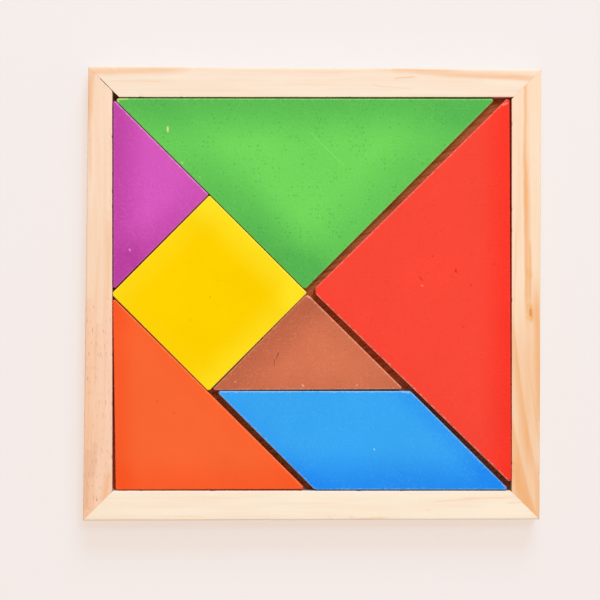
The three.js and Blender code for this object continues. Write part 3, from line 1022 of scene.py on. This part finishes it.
def rail_section(width, tray):
    """Section of a rail: across from its outer face, and up, counter-clockwise, with its groove."""
    arris, crisp, foot = tray.rail_arris, tray.well_arris, tray.foot_arris
    root = width - tray.groove_depth
    floor, roof = BOARD_LOW, BOARD_HIGH + tray.groove_play
    flat = width - crisp - arris
    corners = arc((width - crisp, RIM - crisp), crisp, 0, 90, steps=3)
    corners += [(width - crisp - flat * i / TOP_STEPS, RIM) for i in range(1, TOP_STEPS)]
    corners += arc((arris, RIM - arris), arris, 90, 180)
    corners += [(0, RIM * share) for share in OUTER_SHARES]
    corners += arc((arris, arris), arris, 180, 270)
    corners += [(width / 2, 0)]
    corners += arc((width - foot, foot), foot, 270, 360, steps=2)
    corners += [(width, floor), (root, floor), (root, roof), (width, roof), (width, RIM - WELL_POINT)]
    return corners


def mitre_end(name, axis, sign):
    """One mitred end of a rail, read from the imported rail."""
    points = node_points(name)
    reach = max(sign * point[axis] for point in points)
    zone = [point for point in points if sign * point[axis] > reach - END_ZONE]
    inner = min(sign * point[axis] for point in zone)
    side = max((point[1 - axis] for point in zone), key=abs)
    out, beside = Vector((0.0, 0.0)), Vector((0.0, 0.0))
    out[axis] = sign
    beside[1 - axis] = math.copysign(1, side)
    corner = out * reach + beside * abs(side)
    return Mitre(corner, -out - beside, reach - inner, out, (name, axis, sign) in OPENED_ENDS)


def smooth_step(value, start, end):
    """Smooth rise from 0 at start to 1 at end."""
    share = min(1.0, max(0.0, (value - start) / (end - start)))
    return share * share * (3 - 2 * share)


def mitre_room(end, across, up):
    """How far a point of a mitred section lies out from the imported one."""
    if not end.opened:
        return TIGHT_MITRE
    rough = noise.noise(Vector((across * SPLINTERS, *SPLINTER_PLACE)))
    ragged = smooth_step(rough, SPLINTER_WHOLE, SPLINTER_END)
    raised = smooth_step(up, RIM - GAPE_DEEP, RIM - GAPE_SHALLOW)
    return OPEN_MITRE * (1 - GAPE * (smooth_step(across, GAPE_FROM, GAPE_WHOLE) * raised * ragged))


def mitred_ring(end, tray):
    """Ring of points on a mitre plane."""
    ring = []
    for across, up in rail_section(end.width, tray):
        flat = end.corner + end.inward * across + end.out * mitre_room(end, across, up)
        ring.append(Vector((flat.x, flat.y, up)))
    return ring


def rail_stations(length, tray):
    """Shares of the length of a rail at which it has a section, with one more by each eased end."""
    count = round(length / tray.station)
    ease = tray.mitre_ease / length
    return [0.0, ease, *(ease + (1 - 2 * ease) * i / count for i in range(1, count)), 1 - ease, 1.0]


def edge_nicks(length, seed):
    """Knocks along the upper edges of a rail."""
    rand = random.Random(seed)
    return [
        Nick(rand.uniform(*NICK_SPOTS) * length, rand.choice((False, True)), rand.uniform(*NICK_REACHES),
             rand.uniform(*NICK_DEPTHS))
        for _ in range(NICKS)
    ]


def rail_noise(place, scales, shifts):
    """Noise from 0 to 1 on a rail."""
    spot = [value * scale + shift for value, scale, shift in zip(place, scales, shifts)]
    return 0.5 + 0.5 * noise.noise(Vector(spot))


def sanded(run, aside, lift, seed, nicks, tray):
    """How deep sanding and nicks go at a place of a rail."""
    place = run, aside, lift
    broad = rail_noise(place, BROAD_WAVES, (0, seed, 0))
    fine = rail_noise(place, FINE_WAVES, (0, seed, FINE_SHIFT))
    depth = tray.sanding * ((1 - FINE_SHARE) * broad + FINE_SHARE * fine)
    for nick in nicks:
        near = 1 - abs(run - nick.run) / nick.reach
        beside = aside if nick.outer else -aside
        if near > 0 and lift > NICK_LIFT and beside > NICK_ASIDE:
            depth += tray.nick_depth * nick.depth * smooth_step(near, 0.0, 1.0)
    return depth


def sunk(depth, aside, lift, out):
    """Way into the wood from the top face, the outer face and the upper half of the well face."""
    way = Vector((0, 0, 0))
    if lift > TOP_LIFT:
        way.z -= depth
    if aside > FACE_ASIDE:
        way -= (out * depth).to_3d()
    elif aside < -FACE_ASIDE and lift > 0:
        way += (out * depth).to_3d()
    return way


def loft_rail(label, rail, tray):
    """Rail between two mitred ends, with sanding waves and knocked edges."""
    first, last = mitre_end(*rail.first), mitre_end(*rail.last)
    start, end = mitred_ring(first, tray), mitred_ring(last, tray)
    length = (last.corner - first.corner).length
    way = (last.corner - first.corner).normalized()
    out = Vector((-way.y, way.x))
    out = out if out.dot(first.inward) < 0 else -out
    nicks = edge_nicks(length, rail.seed)
    shape = bmesh.new()
    rings = []
    for share in rail_stations(length, tray):
        ring = [a.lerp(b, share) for a, b in zip(start, end)]
        sides = [point.to_2d().dot(out) for point in ring]
        low, high = min(sides), max(sides)
        made = []
        for point, side in zip(ring, sides):
            aside = (side - (low + high) / 2) / ((high - low) / 2)
            lift = (point.z - RIM / 2) / (RIM / 2)
            depth = sanded(share * length, aside, lift, rail.seed, nicks, tray)
            if share in (0.0, 1.0):
                depth += tray.mitre_ease
            made.append(shape.verts.new((point + sunk(depth, aside, lift, out)) * MM))
        rings.append(made)
    for one, two in zip(rings, rings[1:]):
        for corners in zip(one, one[1:] + one[:1], two[1:] + two[:1], two):
            shape.faces.new(corners)
    shape.faces.new(rings[0][::-1])
    shape.faces.new(rings[-1])
    bmesh.ops.recalc_face_normals(shape, faces=shape.faces)
    return shaped_object(label, shape)


def finger_line():
    """Zigzag of the finger joint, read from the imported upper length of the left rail, from left to right."""
    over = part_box("left_rail_lower")[1].y / MM + FINGER_ZONE
    zone = {(round(p.x, 3), round(p.y, 3)) for p in node_points("left_rail_upper") if p.y < over}
    if not zone:
        raise RuntimeError("the finger joint of the left rail wasn't found")
    return [Vector(point) for point in sorted(zone)]


def cut_at_fingers(piece, keep_upper):
    """Keeps the part of the left rail over or under the finger joint."""
    glue = Vector((0, 0 if keep_upper else FINGER_GLUE))
    joint = [point - glue for point in finger_line()]
    left, right = joint[0].x - CUTTER_SIDE, joint[-1].x + CUTTER_SIDE
    far = CUTTER_FAR if keep_upper else -CUTTER_FAR
    points = [(left, joint[0].y), *joint, (right, joint[-1].y), (right, far), (left, far)]
    shape = bmesh.new()
    face = shape.faces.new([shape.verts.new((x * MM, y * MM, -CUTTER_FACE * MM)) for x, y in points])
    raised = bmesh.ops.extrude_face_region(shape, geom=[face])
    moved = [part for part in raised["geom"] if isinstance(part, bmesh.types.BMVert)]
    bmesh.ops.translate(shape, verts=moved, vec=(0, 0, (RIM + 2 * CUTTER_FACE) * MM))
    bmesh.ops.recalc_face_normals(shape, faces=shape.faces)
    cutter = shaped_object("finger_cutter", shape)
    mesh = cutter.data
    cut = piece.modifiers.new("Finger Joint", "BOOLEAN")
    cut.operation = "INTERSECT"
    cut.solver = "EXACT"
    cut.object = cutter
    bake_modifiers(piece)
    bpy.data.objects.remove(cutter)
    bpy.data.meshes.remove(mesh)


def shade_rail(piece, material):
    """Material, and smooth shading up to the sharp edges of a rail."""
    piece.data.materials.clear()
    piece.data.materials.append(material)
    shade_smooth(piece)
    piece.data.set_sharp_from_angle(angle=CRISP_ANGLE)


class TANGRAM_OT_rails(bpy.types.Operator):
    """Makes the five lengths of pine of the tray"""

    bl_idname = "tangram.make_rails"
    bl_label = "Make Rails"

    def execute(self, context):
        make_node_groups()
        tray = context.scene.tangram_tray
        for name, rail in RAILS.items():
            piece = loft_rail(name + "_sanded", rail, tray)
            if rail is LEFT_RAIL:
                cut_at_fingers(piece, name == "left_rail_upper")
            shade_rail(piece, pine_material(name, tray))
            dress(piece, name)
        return {"FINISHED"}


class TANGRAM_OT_base_board(bpy.types.Operator):
    """Makes the plywood board that the tans lie on"""

    bl_idname = "tangram.make_base_board"
    bl_label = "Make Base Board"

    def execute(self, context):
        make_node_groups()
        tray = context.scene.tangram_tray
        piece = sawn_blank(
            "base_board_veneered", BOARD, sharp_corners(BOARD), plywood_material(tray), tray.board_arris,
            BOARD_STEP, BOARD_CORNER_STEPS,
        )
        smooth_faces(piece)
        dress(piece, BOARD)
        return {"FINISHED"}


# Tans

# Ways that a side can face, and steps round a corner
COMPASS = ("E", "NE", "N", "NW", "W", "SW", "S", "SE")
TAN_CORNER_STEPS = 7

# A side whose share of the edge paint is the same all along
NO_FADE = (0.0, 0.0, 1.0)

# Each tan: its paint, its colour near the edges, which is painted shade near the rails and seams (painted
# light on the yellow square), the colours of fibres, specks and pale edges, the pale edges being partly rubbed
# paint and partly a painted highlight, how strong its grain, fibres and specks are, how many times wider its
# edges are worn if they are, and for each side its share of the painted edge shade, how far in that reaches,
# and the strength of its pale edge.
# Fades give how the share of painted shade of a side changes with x and y. Grown sides lie so much further out
# at their two ends than in the imported model, where the saw strayed and the paint is thick.
TANS = {
    "large_triangle_green": {
        "paint": "green", "edge": srgb(85, 179, 81), "pale": srgb(150, 228, 120), "dark": srgb(58, 146, 56),
        "rubbed_and_highlit": srgb(190, 214, 130), "grain": 0.1, "fibres": 0.16, "specks": 0.44,
        "sides": {"N": (0.85, 13, 0.4), "SW": (1.0, 14, 0.15), "SE": (0.5, 14, 0.3)},
        "fades": {"SW": (0.03, 0.0, 1.4)},
        "grown": {"N": (-0.08, 0.04)},
    },
    "large_triangle_red": {
        "paint": "red", "edge": srgb(250, 52, 38), "pale": srgb(252, 96, 82), "dark": srgb(196, 30, 24),
        "rubbed_and_highlit": srgb(255, 146, 128), "grain": 0.045, "fibres": 0.14, "specks": 0.2, "worn": 1.5,
        "sides": {"E": (0.85, 9, 0.05), "NW": (0.0, 6, 0.5), "SW": (0.1, 6, 1.0)},
        "grown": {"E": (0.24, 0.24)},
    },
    "medium_triangle_orange": {
        "paint": "orange", "edge": srgb(251, 86, 36), "pale": srgb(253, 120, 70), "dark": srgb(226, 74, 30),
        "rubbed_and_highlit": srgb(254, 142, 92), "grain": 0.012, "fibres": 0.08, "specks": 0.1,
        "sides": {"W": (0.75, 7, 0.1), "S": (0.6, 10, 0.1), "NE": (0.2, 6, 0.45)},
        "grown": {"W": (0.2, -0.35), "S": (0.12, 0.16)},
    },
    "small_triangle_purple": {
        "paint": "purple", "edge": srgb(186, 64, 160), "pale": srgb(230, 122, 212),
        "dark": srgb(166, 52, 148), "rubbed_and_highlit": srgb(222, 150, 208),
        "grain": 0.1, "fibres": 0.2, "specks": 0.18,
        "sides": {"W": (0.8, 10, 0.15), "NE": (0.0, 8, 0.7), "SE": (0.95, 9, 0.15)},
        "fades": {"SE": (-0.031, 0.0, -0.56)},
        "grown": {"W": (0.1, 0.1)},
    },
    "small_triangle_brown": {
        "paint": "brown", "edge": srgb(190, 101, 73), "pale": srgb(234, 146, 114), "dark": srgb(140, 66, 46),
        "rubbed_and_highlit": srgb(236, 170, 140), "grain": 0.075, "fibres": 0.3, "specks": 0.24,
        "sides": {"NW": (1.0, 11, 0.25), "NE": (0.3, 7, 0.55), "S": (0.3, 6, 0.4)},
        "grown": {"NW": (0.05, 0.05), "NE": (0.22, 0.22)},
    },
    "square_yellow": {
        "paint": "yellow", "edge": srgb(254, 227, 36), "pale": srgb(254, 230, 64), "dark": srgb(232, 178, 0),
        "rubbed_and_highlit": srgb(255, 236, 120), "grain": 0.008, "fibres": 0.04, "specks": 0.1,
        "sides": {"NE": (0.8, 9, 0.3), "SE": (0.6, 8, 0.25), "SW": (0.12, 7, 0.2), "NW": (0.36, 8, 0.2)},
        "grown": {"NW": (0.24, 0.16)},
    },
    "parallelogram_blue": {
        "paint": "blue", "edge": srgb(33, 138, 243), "pale": srgb(112, 196, 250), "dark": srgb(24, 110, 206),
        "rubbed_and_highlit": srgb(170, 208, 240), "grain": 0.045, "fibres": 0.15, "specks": 0.14,
        "sides": {"S": (0.9, 12, 0.3), "N": (0.0, 6, 0.5), "NE": (0.45, 6, 0.3), "SW": (0.2, 6, 0.4)},
        "grown": {"S": (0.12, 0.12)},
    },
}

# Scratches, chips and spots: start and end in millimetres, width, colour and strength
SCUFFS = {
    "large_triangle_green": (
        ((-36.6, 42.2), (-36.6, 41.2), 0.34, srgb(222, 226, 168), 0.9),
        ((-33.0, 33.3), (-32.9, 33.1), 0.26, srgb(214, 232, 150), 0.65),
        ((-28.6, 29.6), (-28.4, 29.5), 0.18, srgb(206, 232, 140), 0.55),
        ((-0.5, 40.9), (8.1, 32.5), 0.17, srgb(158, 232, 112), 0.36),
        ((-49.3, 48.1), (-49.1, 49.2), 0.34, srgb(206, 214, 140), 0.8),
        ((-48.9, 49.3), (-46.8, 49.4), 0.3, srgb(206, 214, 140), 0.7),
    ),
    "large_triangle_red": (
        ((30.5, 9.6), (30.5, 9.5), 0.3, srgb(190, 28, 22), 0.5),
        ((36.4, 6.0), (36.5, 5.6), 0.42, srgb(196, 28, 24), 0.6),
        ((27.7, 2.1), (28.1, 2.0), 0.22, srgb(255, 132, 112), 0.8),
        ((28.0, 3.4), (27.3, 4.2), 0.3, srgb(204, 40, 30), 0.5),
        ((48.4, 47.9), (49.4, 48.3), 0.4, srgb(252, 150, 134), 0.6),
        ((46.1, 7.6), (46.1, 7.4), 0.3, srgb(190, 28, 22), 0.5),
        ((40.3, 2.3), (40.2, 2.1), 0.26, srgb(190, 28, 22), 0.5),
        ((38.3, -8.3), (38.3, -8.5), 0.24, srgb(190, 28, 22), 0.45),
    ),
    "medium_triangle_orange": (
        ((-39.2, -27.0), (-39.2, -27.6), 0.3, srgb(214, 74, 34), 0.4),
        ((-35.0, -30.1), (-35.0, -30.4), 0.28, srgb(214, 74, 34), 0.4),
    ),
    "small_triangle_purple": (
        ((-46.3, 11.2), (-46.2, 11.0), 0.3, srgb(238, 168, 226), 0.7),
    ),
    "small_triangle_brown": (
        ((-8.5, -15.0), (-9.1, -16.4), 0.18, srgb(112, 50, 36), 0.65),
        ((-9.5, -16.7), (-9.6, -18.1), 0.17, srgb(112, 50, 36), 0.55),
        ((-2.4, -23.2), (-2.2, -23.4), 0.3, srgb(246, 184, 156), 0.75),
        ((11.3, -23.3), (11.5, -23.1), 0.24, srgb(240, 178, 150), 0.6),
        ((-19.6, -22.4), (-19.4, -22.3), 0.24, srgb(240, 178, 150), 0.55),
        ((-1.2, -0.7), (0.2, -1.2), 0.32, srgb(240, 178, 150), 0.7),
    ),
    "square_yellow": (
        ((-25.9, -0.8), (-25.8, -0.9), 0.3, srgb(214, 164, 10), 0.5),
        ((-23.9, 3.5), (-23.8, 3.4), 0.24, srgb(214, 164, 10), 0.45),
        ((-31.0, -6.6), (-30.9, -6.7), 0.26, srgb(214, 164, 10), 0.4),
    ),
    "parallelogram_blue": (
        ((15.7, -39.4), (15.8, -39.5), 0.26, srgb(176, 216, 246), 0.8),
        ((22.9, -24.9), (24.6, -25.2), 0.24, srgb(186, 216, 238), 0.45),
    ),
}


def tan_lines(corners):
    """Sides of a tan, each with its start, its end, its outward normal and the way that faces."""
    points = [corner for corner, _ in corners]
    for start, end in zip(points, points[1:] + points[:1]):
        way = (end - start).normalized()
        out = Vector((way.y, -way.x))
        turn = math.atan2(out.y, out.x) / math.tau
        yield start, end, out, COMPASS[round(turn * len(COMPASS)) % len(COMPASS)]


def tan_corners(name):
    """Sharp corners of a tan after its grown sides have moved out, with the radius of each."""
    corners = sharp_corners(name)
    lines = []
    for start, end, out, facing in tan_lines(corners):
        near, far = TANS[name]["grown"].get(facing, (0.0, 0.0))
        lines.append((start + out * near, end - start + out * (far - near)))
    moved = []
    for (first, into), (second, away), (_, radius) in zip(lines[-1:] + lines[:-1], lines, corners):
        moved.append((first + into * cross(second - first, away) / cross(into, away), radius))
    return moved


def tan_sides(name):
    """Sides of a tan as inward normal and offset, by the way that each faces."""
    lines = tan_lines(tan_corners(name))
    return {facing: (-out.x, -out.y, out.dot(start)) for start, _, out, facing in lines}


def paint_material(name, tans):
    """Paint of one tan, with its own scuffs, painted shade near its edges, and pale edges that are partly
    rubbed paint and partly a painted highlight.
    """
    look = TANS[name]
    label = look["paint"] + "_paint"
    material, tree, shader, height, place = new_material(label, specular=0.2, bump=0.22, depth=0.04)
    colour = rgba(getattr(tans, look["paint"]))
    shader["Specular Tint"].default_value = colour
    ragged = line(tree, speckle(tree, place, 1.1, 3.0, 0.6), 0.3, 0.7, -0.16, 0.24)
    edges = {"Edge Shading Share": 0.0, "Wear And Highlight": 0.0}
    # Each side adds its painted edge shade and its pale edge, which is partly rubbed paint and partly a
    # painted highlight
    for facing, side in tan_sides(name).items():
        shading_share, reach, wear_and_highlight = look["sides"][facing]
        edges = place_group(tree, "Tan Side", {
            "Position": place, "Side": side, "Shading And Pale Edge": (shading_share, reach, wear_and_highlight * tans.wear_and_highlight),
            "Fade": look.get("fades", {}).get(facing, NO_FADE), "Ragged": ragged,
            "Edge Shading Share": edges["Edge Shading Share"], "Wear And Highlight": edges["Wear And Highlight"],
        })
    paint = place_group(tree, "Thin Paint", {
        "Position": place, "Paint": colour, "Edge Shading": rgba(look["edge"]), "Pale": rgba(look["pale"]),
        "Dark": rgba(look["dark"]), "Rubbed And Highlit": rgba(look["rubbed_and_highlit"]), "Edge Shading Share": edges["Edge Shading Share"],
        "Wear And Highlight": edges["Wear And Highlight"], "Top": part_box(name)[1].z / MM, "Grain": look["grain"],
        "Fibres": look["fibres"] * tans.fibres, "Specks": look["specks"] * tans.fibres,
    })
    colour = lay_marks(tree, paint["Colour"], place, SCUFFS[name])
    finish_material(tree, shader, height, colour, paint)
    return material


class TANGRAM_OT_tans(bpy.types.Operator):
    """Makes the seven painted tans"""

    bl_idname = "tangram.make_tans"
    bl_label = "Make Tans"

    def execute(self, context):
        make_node_groups()
        tans = context.scene.tangram_tans
        for name, look in TANS.items():
            piece = sawn_blank(
                name + "_painted", name, tan_corners(name), paint_material(name, tans),
                tans.arris * look.get("worn", 1.0), tans.edge_step, TAN_CORNER_STEPS,
            )
            knock_edges(piece, name, tans.dents)
            smooth_faces(piece)
            dress(piece, name)
        return {"FINISHED"}


# Stage

# The floor lies a hair under the tray, and reaches so many metres each way, in so many squares
FLOOR_GAP = 0.02
FLOOR_REACH = 30.0
FLOOR_SQUARES = 24

# Its roughness, how fine its grain is, and how strongly it glows
FLOOR_ROUGHNESS = 0.8
FLOOR_GRAIN = 0.9
GLOW_STRENGTH = 1.187

# Colours of the lamps, of the even light, and of the plain ground that is seen past the floor
DAYLIGHT = (0.86, 0.945, 1.0)
SKY_LIGHT, SKY_SEEN = srgb(255, 243, 230), srgb(243, 234, 229)

# Size and place of each lamp, in metres
WINDOW_LAMP = (0.8, (0.2, 1.24, 1.16))
CEILING_LAMP = (0.35, (0.35, 0.55, 1.87))

# Point that the camera is over, the width of its sensor and, in metres, what it sees from and to
VIEW_POINT = (-3.068, -1.597)
SENSOR_WIDTH = 36.0
NEAREST, FARTHEST = 0.01, 200.0


def seen_directly(tree):
    """1 on rays that show a thing straight, mirrored or through glass, and 0 on those that light things."""
    rays = add(tree, "ShaderNodeLightPath").outputs
    return fold(tree, "MAXIMUM", rays["Is Camera Ray"], rays["Is Transmission Ray"], rays["Is Glossy Ray"])


def make_floor(stage):
    """Pale floor, with a glow where it's seen that keeps the shadows on it pale."""
    shape = bmesh.new()
    bmesh.ops.create_grid(shape, x_segments=FLOOR_SQUARES, y_segments=FLOOR_SQUARES, size=FLOOR_REACH)
    bmesh.ops.translate(shape, verts=shape.verts, vec=(0, 0, -FLOOR_GAP * MM))
    floor = shaped_object("floor", shape)
    material, tree, shader, height, place = new_material("pale_floor", specular=0.1, bump=0.05, depth=0.05)
    shader["Roughness"].default_value = FLOOR_ROUGHNESS
    seen = seen_directly(tree)
    tree.links.new(mix(tree, seen, rgba(stage.floor), rgba(stage.floor_lit)), shader["Base Color"])
    tree.links.new(speckle(tree, place, FLOOR_GRAIN), height)
    glow = add(tree, "ShaderNodeEmission", {"Color": rgba(stage.floor_glow), "Strength": GLOW_STRENGTH})
    plain = tree.nodes["Principled BSDF"].outputs[0]
    share = times(tree, seen, stage.glow)
    both = add(tree, "ShaderNodeMixShader", {0: share, 1: plain, 2: glow.outputs[0]})
    feed(tree, tree.nodes["Material Output"].inputs, {"Surface": both.outputs[0]})
    floor.data.materials.append(material)


def make_sky(scene, stage):
    """Even light all round, and a plain pale ground where it's seen."""
    world = bpy.data.worlds.new("even_light")
    scene.world = world
    world.use_nodes = True
    tree = world.node_tree
    seen = seen_directly(tree)
    feed(tree, tree.nodes["Background"].inputs, {
        "Color": mix(tree, seen, rgba(SKY_LIGHT), rgba(SKY_SEEN)),
        "Strength": line(tree, seen, 0.0, 1.0, stage.sky, 1.0),
    })


def soft_lamp(name, power, size, place):
    """Square area lamp that faces the tray."""
    lamp = bpy.data.lights.new(name, "AREA")
    lamp.shape = "SQUARE"
    lamp.size = size
    lamp.energy = power
    lamp.color = DAYLIGHT
    piece = new_object(name, lamp)
    piece.location = place
    piece.rotation_euler = (-Vector(place)).to_track_quat("-Z", "Y").to_euler()


def make_camera(scene, stage):
    """Camera that looks straight down on the tray."""
    camera = bpy.data.cameras.new("camera")
    camera.sensor_width = SENSOR_WIDTH
    camera.lens = camera.sensor_width * stage.camera_height / stage.view_width
    camera.clip_start, camera.clip_end = NEAREST, FARTHEST
    eye = new_object("camera", camera)
    eye.location = (VIEW_POINT[0] * MM, VIEW_POINT[1] * MM, RIM * MM + stage.camera_height)
    scene.camera = eye


class TANGRAM_OT_stage(bpy.types.Operator):
    """Makes the pale floor, the soft light and the camera"""

    bl_idname = "tangram.make_stage"
    bl_label = "Make Stage"

    def execute(self, context):
        scene = context.scene
        stage = scene.tangram_stage
        scene.view_settings.view_transform = "Standard"
        make_floor(stage)
        make_sky(scene, stage)
        soft_lamp("window_light", stage.window, *WINDOW_LAMP)
        soft_lamp("ceiling_light", stage.ceiling, *CEILING_LAMP)
        make_camera(scene, stage)
        return {"FINISHED"}


# Sidebar and start


class TANGRAM_PT_sidebar(bpy.types.Panel):
    """Sizes, colours and steps of the tangram puzzle"""

    bl_idname = "TANGRAM_PT_sidebar"
    bl_label = "Tangram Puzzle"
    bl_space_type = "VIEW_3D"
    bl_region_type = "UI"
    bl_category = "Tangram"

    def draw(self, context):
        for title, settings, steps in (
            ("Tray", context.scene.tangram_tray, ("make_rails", "make_base_board")),
            ("Tans", context.scene.tangram_tans, ("make_tans",)),
            ("Stage", context.scene.tangram_stage, ("make_stage",)),
        ):
            box = self.layout.box()
            box.label(text=title)
            for key in settings.bl_rna.properties.keys():
                if key not in ("rna_type", "name"):
                    box.prop(settings, key)
            for step in steps:
                box.operator("tangram." + step)


CLASSES = (
    TangramTray, TangramTans, TangramStage, TANGRAM_OT_rails, TANGRAM_OT_base_board, TANGRAM_OT_tans,
    TANGRAM_OT_stage, TANGRAM_PT_sidebar,
)
SETTINGS = {"tangram_tray": TangramTray, "tangram_tans": TangramTans, "tangram_stage": TangramStage}


def register():
    """Registers the classes and puts their settings on the scene."""
    for made in CLASSES:
        bpy.utils.register_class(made)
    for key, made in SETTINGS.items():
        setattr(bpy.types.Scene, key, bpy.props.PointerProperty(type=made))


def unregister():
    """Takes the settings and the classes away again."""
    for key in SETTINGS:
        delattr(bpy.types.Scene, key)
    for made in reversed(CLASSES):
        bpy.utils.unregister_class(made)


def main():
    """Makes the puzzle and its stage."""
    register()
    bpy.ops.tangram.make_stage()
    bpy.ops.tangram.make_rails()
    bpy.ops.tangram.make_base_board()
    bpy.ops.tangram.make_tans()


if __name__ == "__main__":
    main()
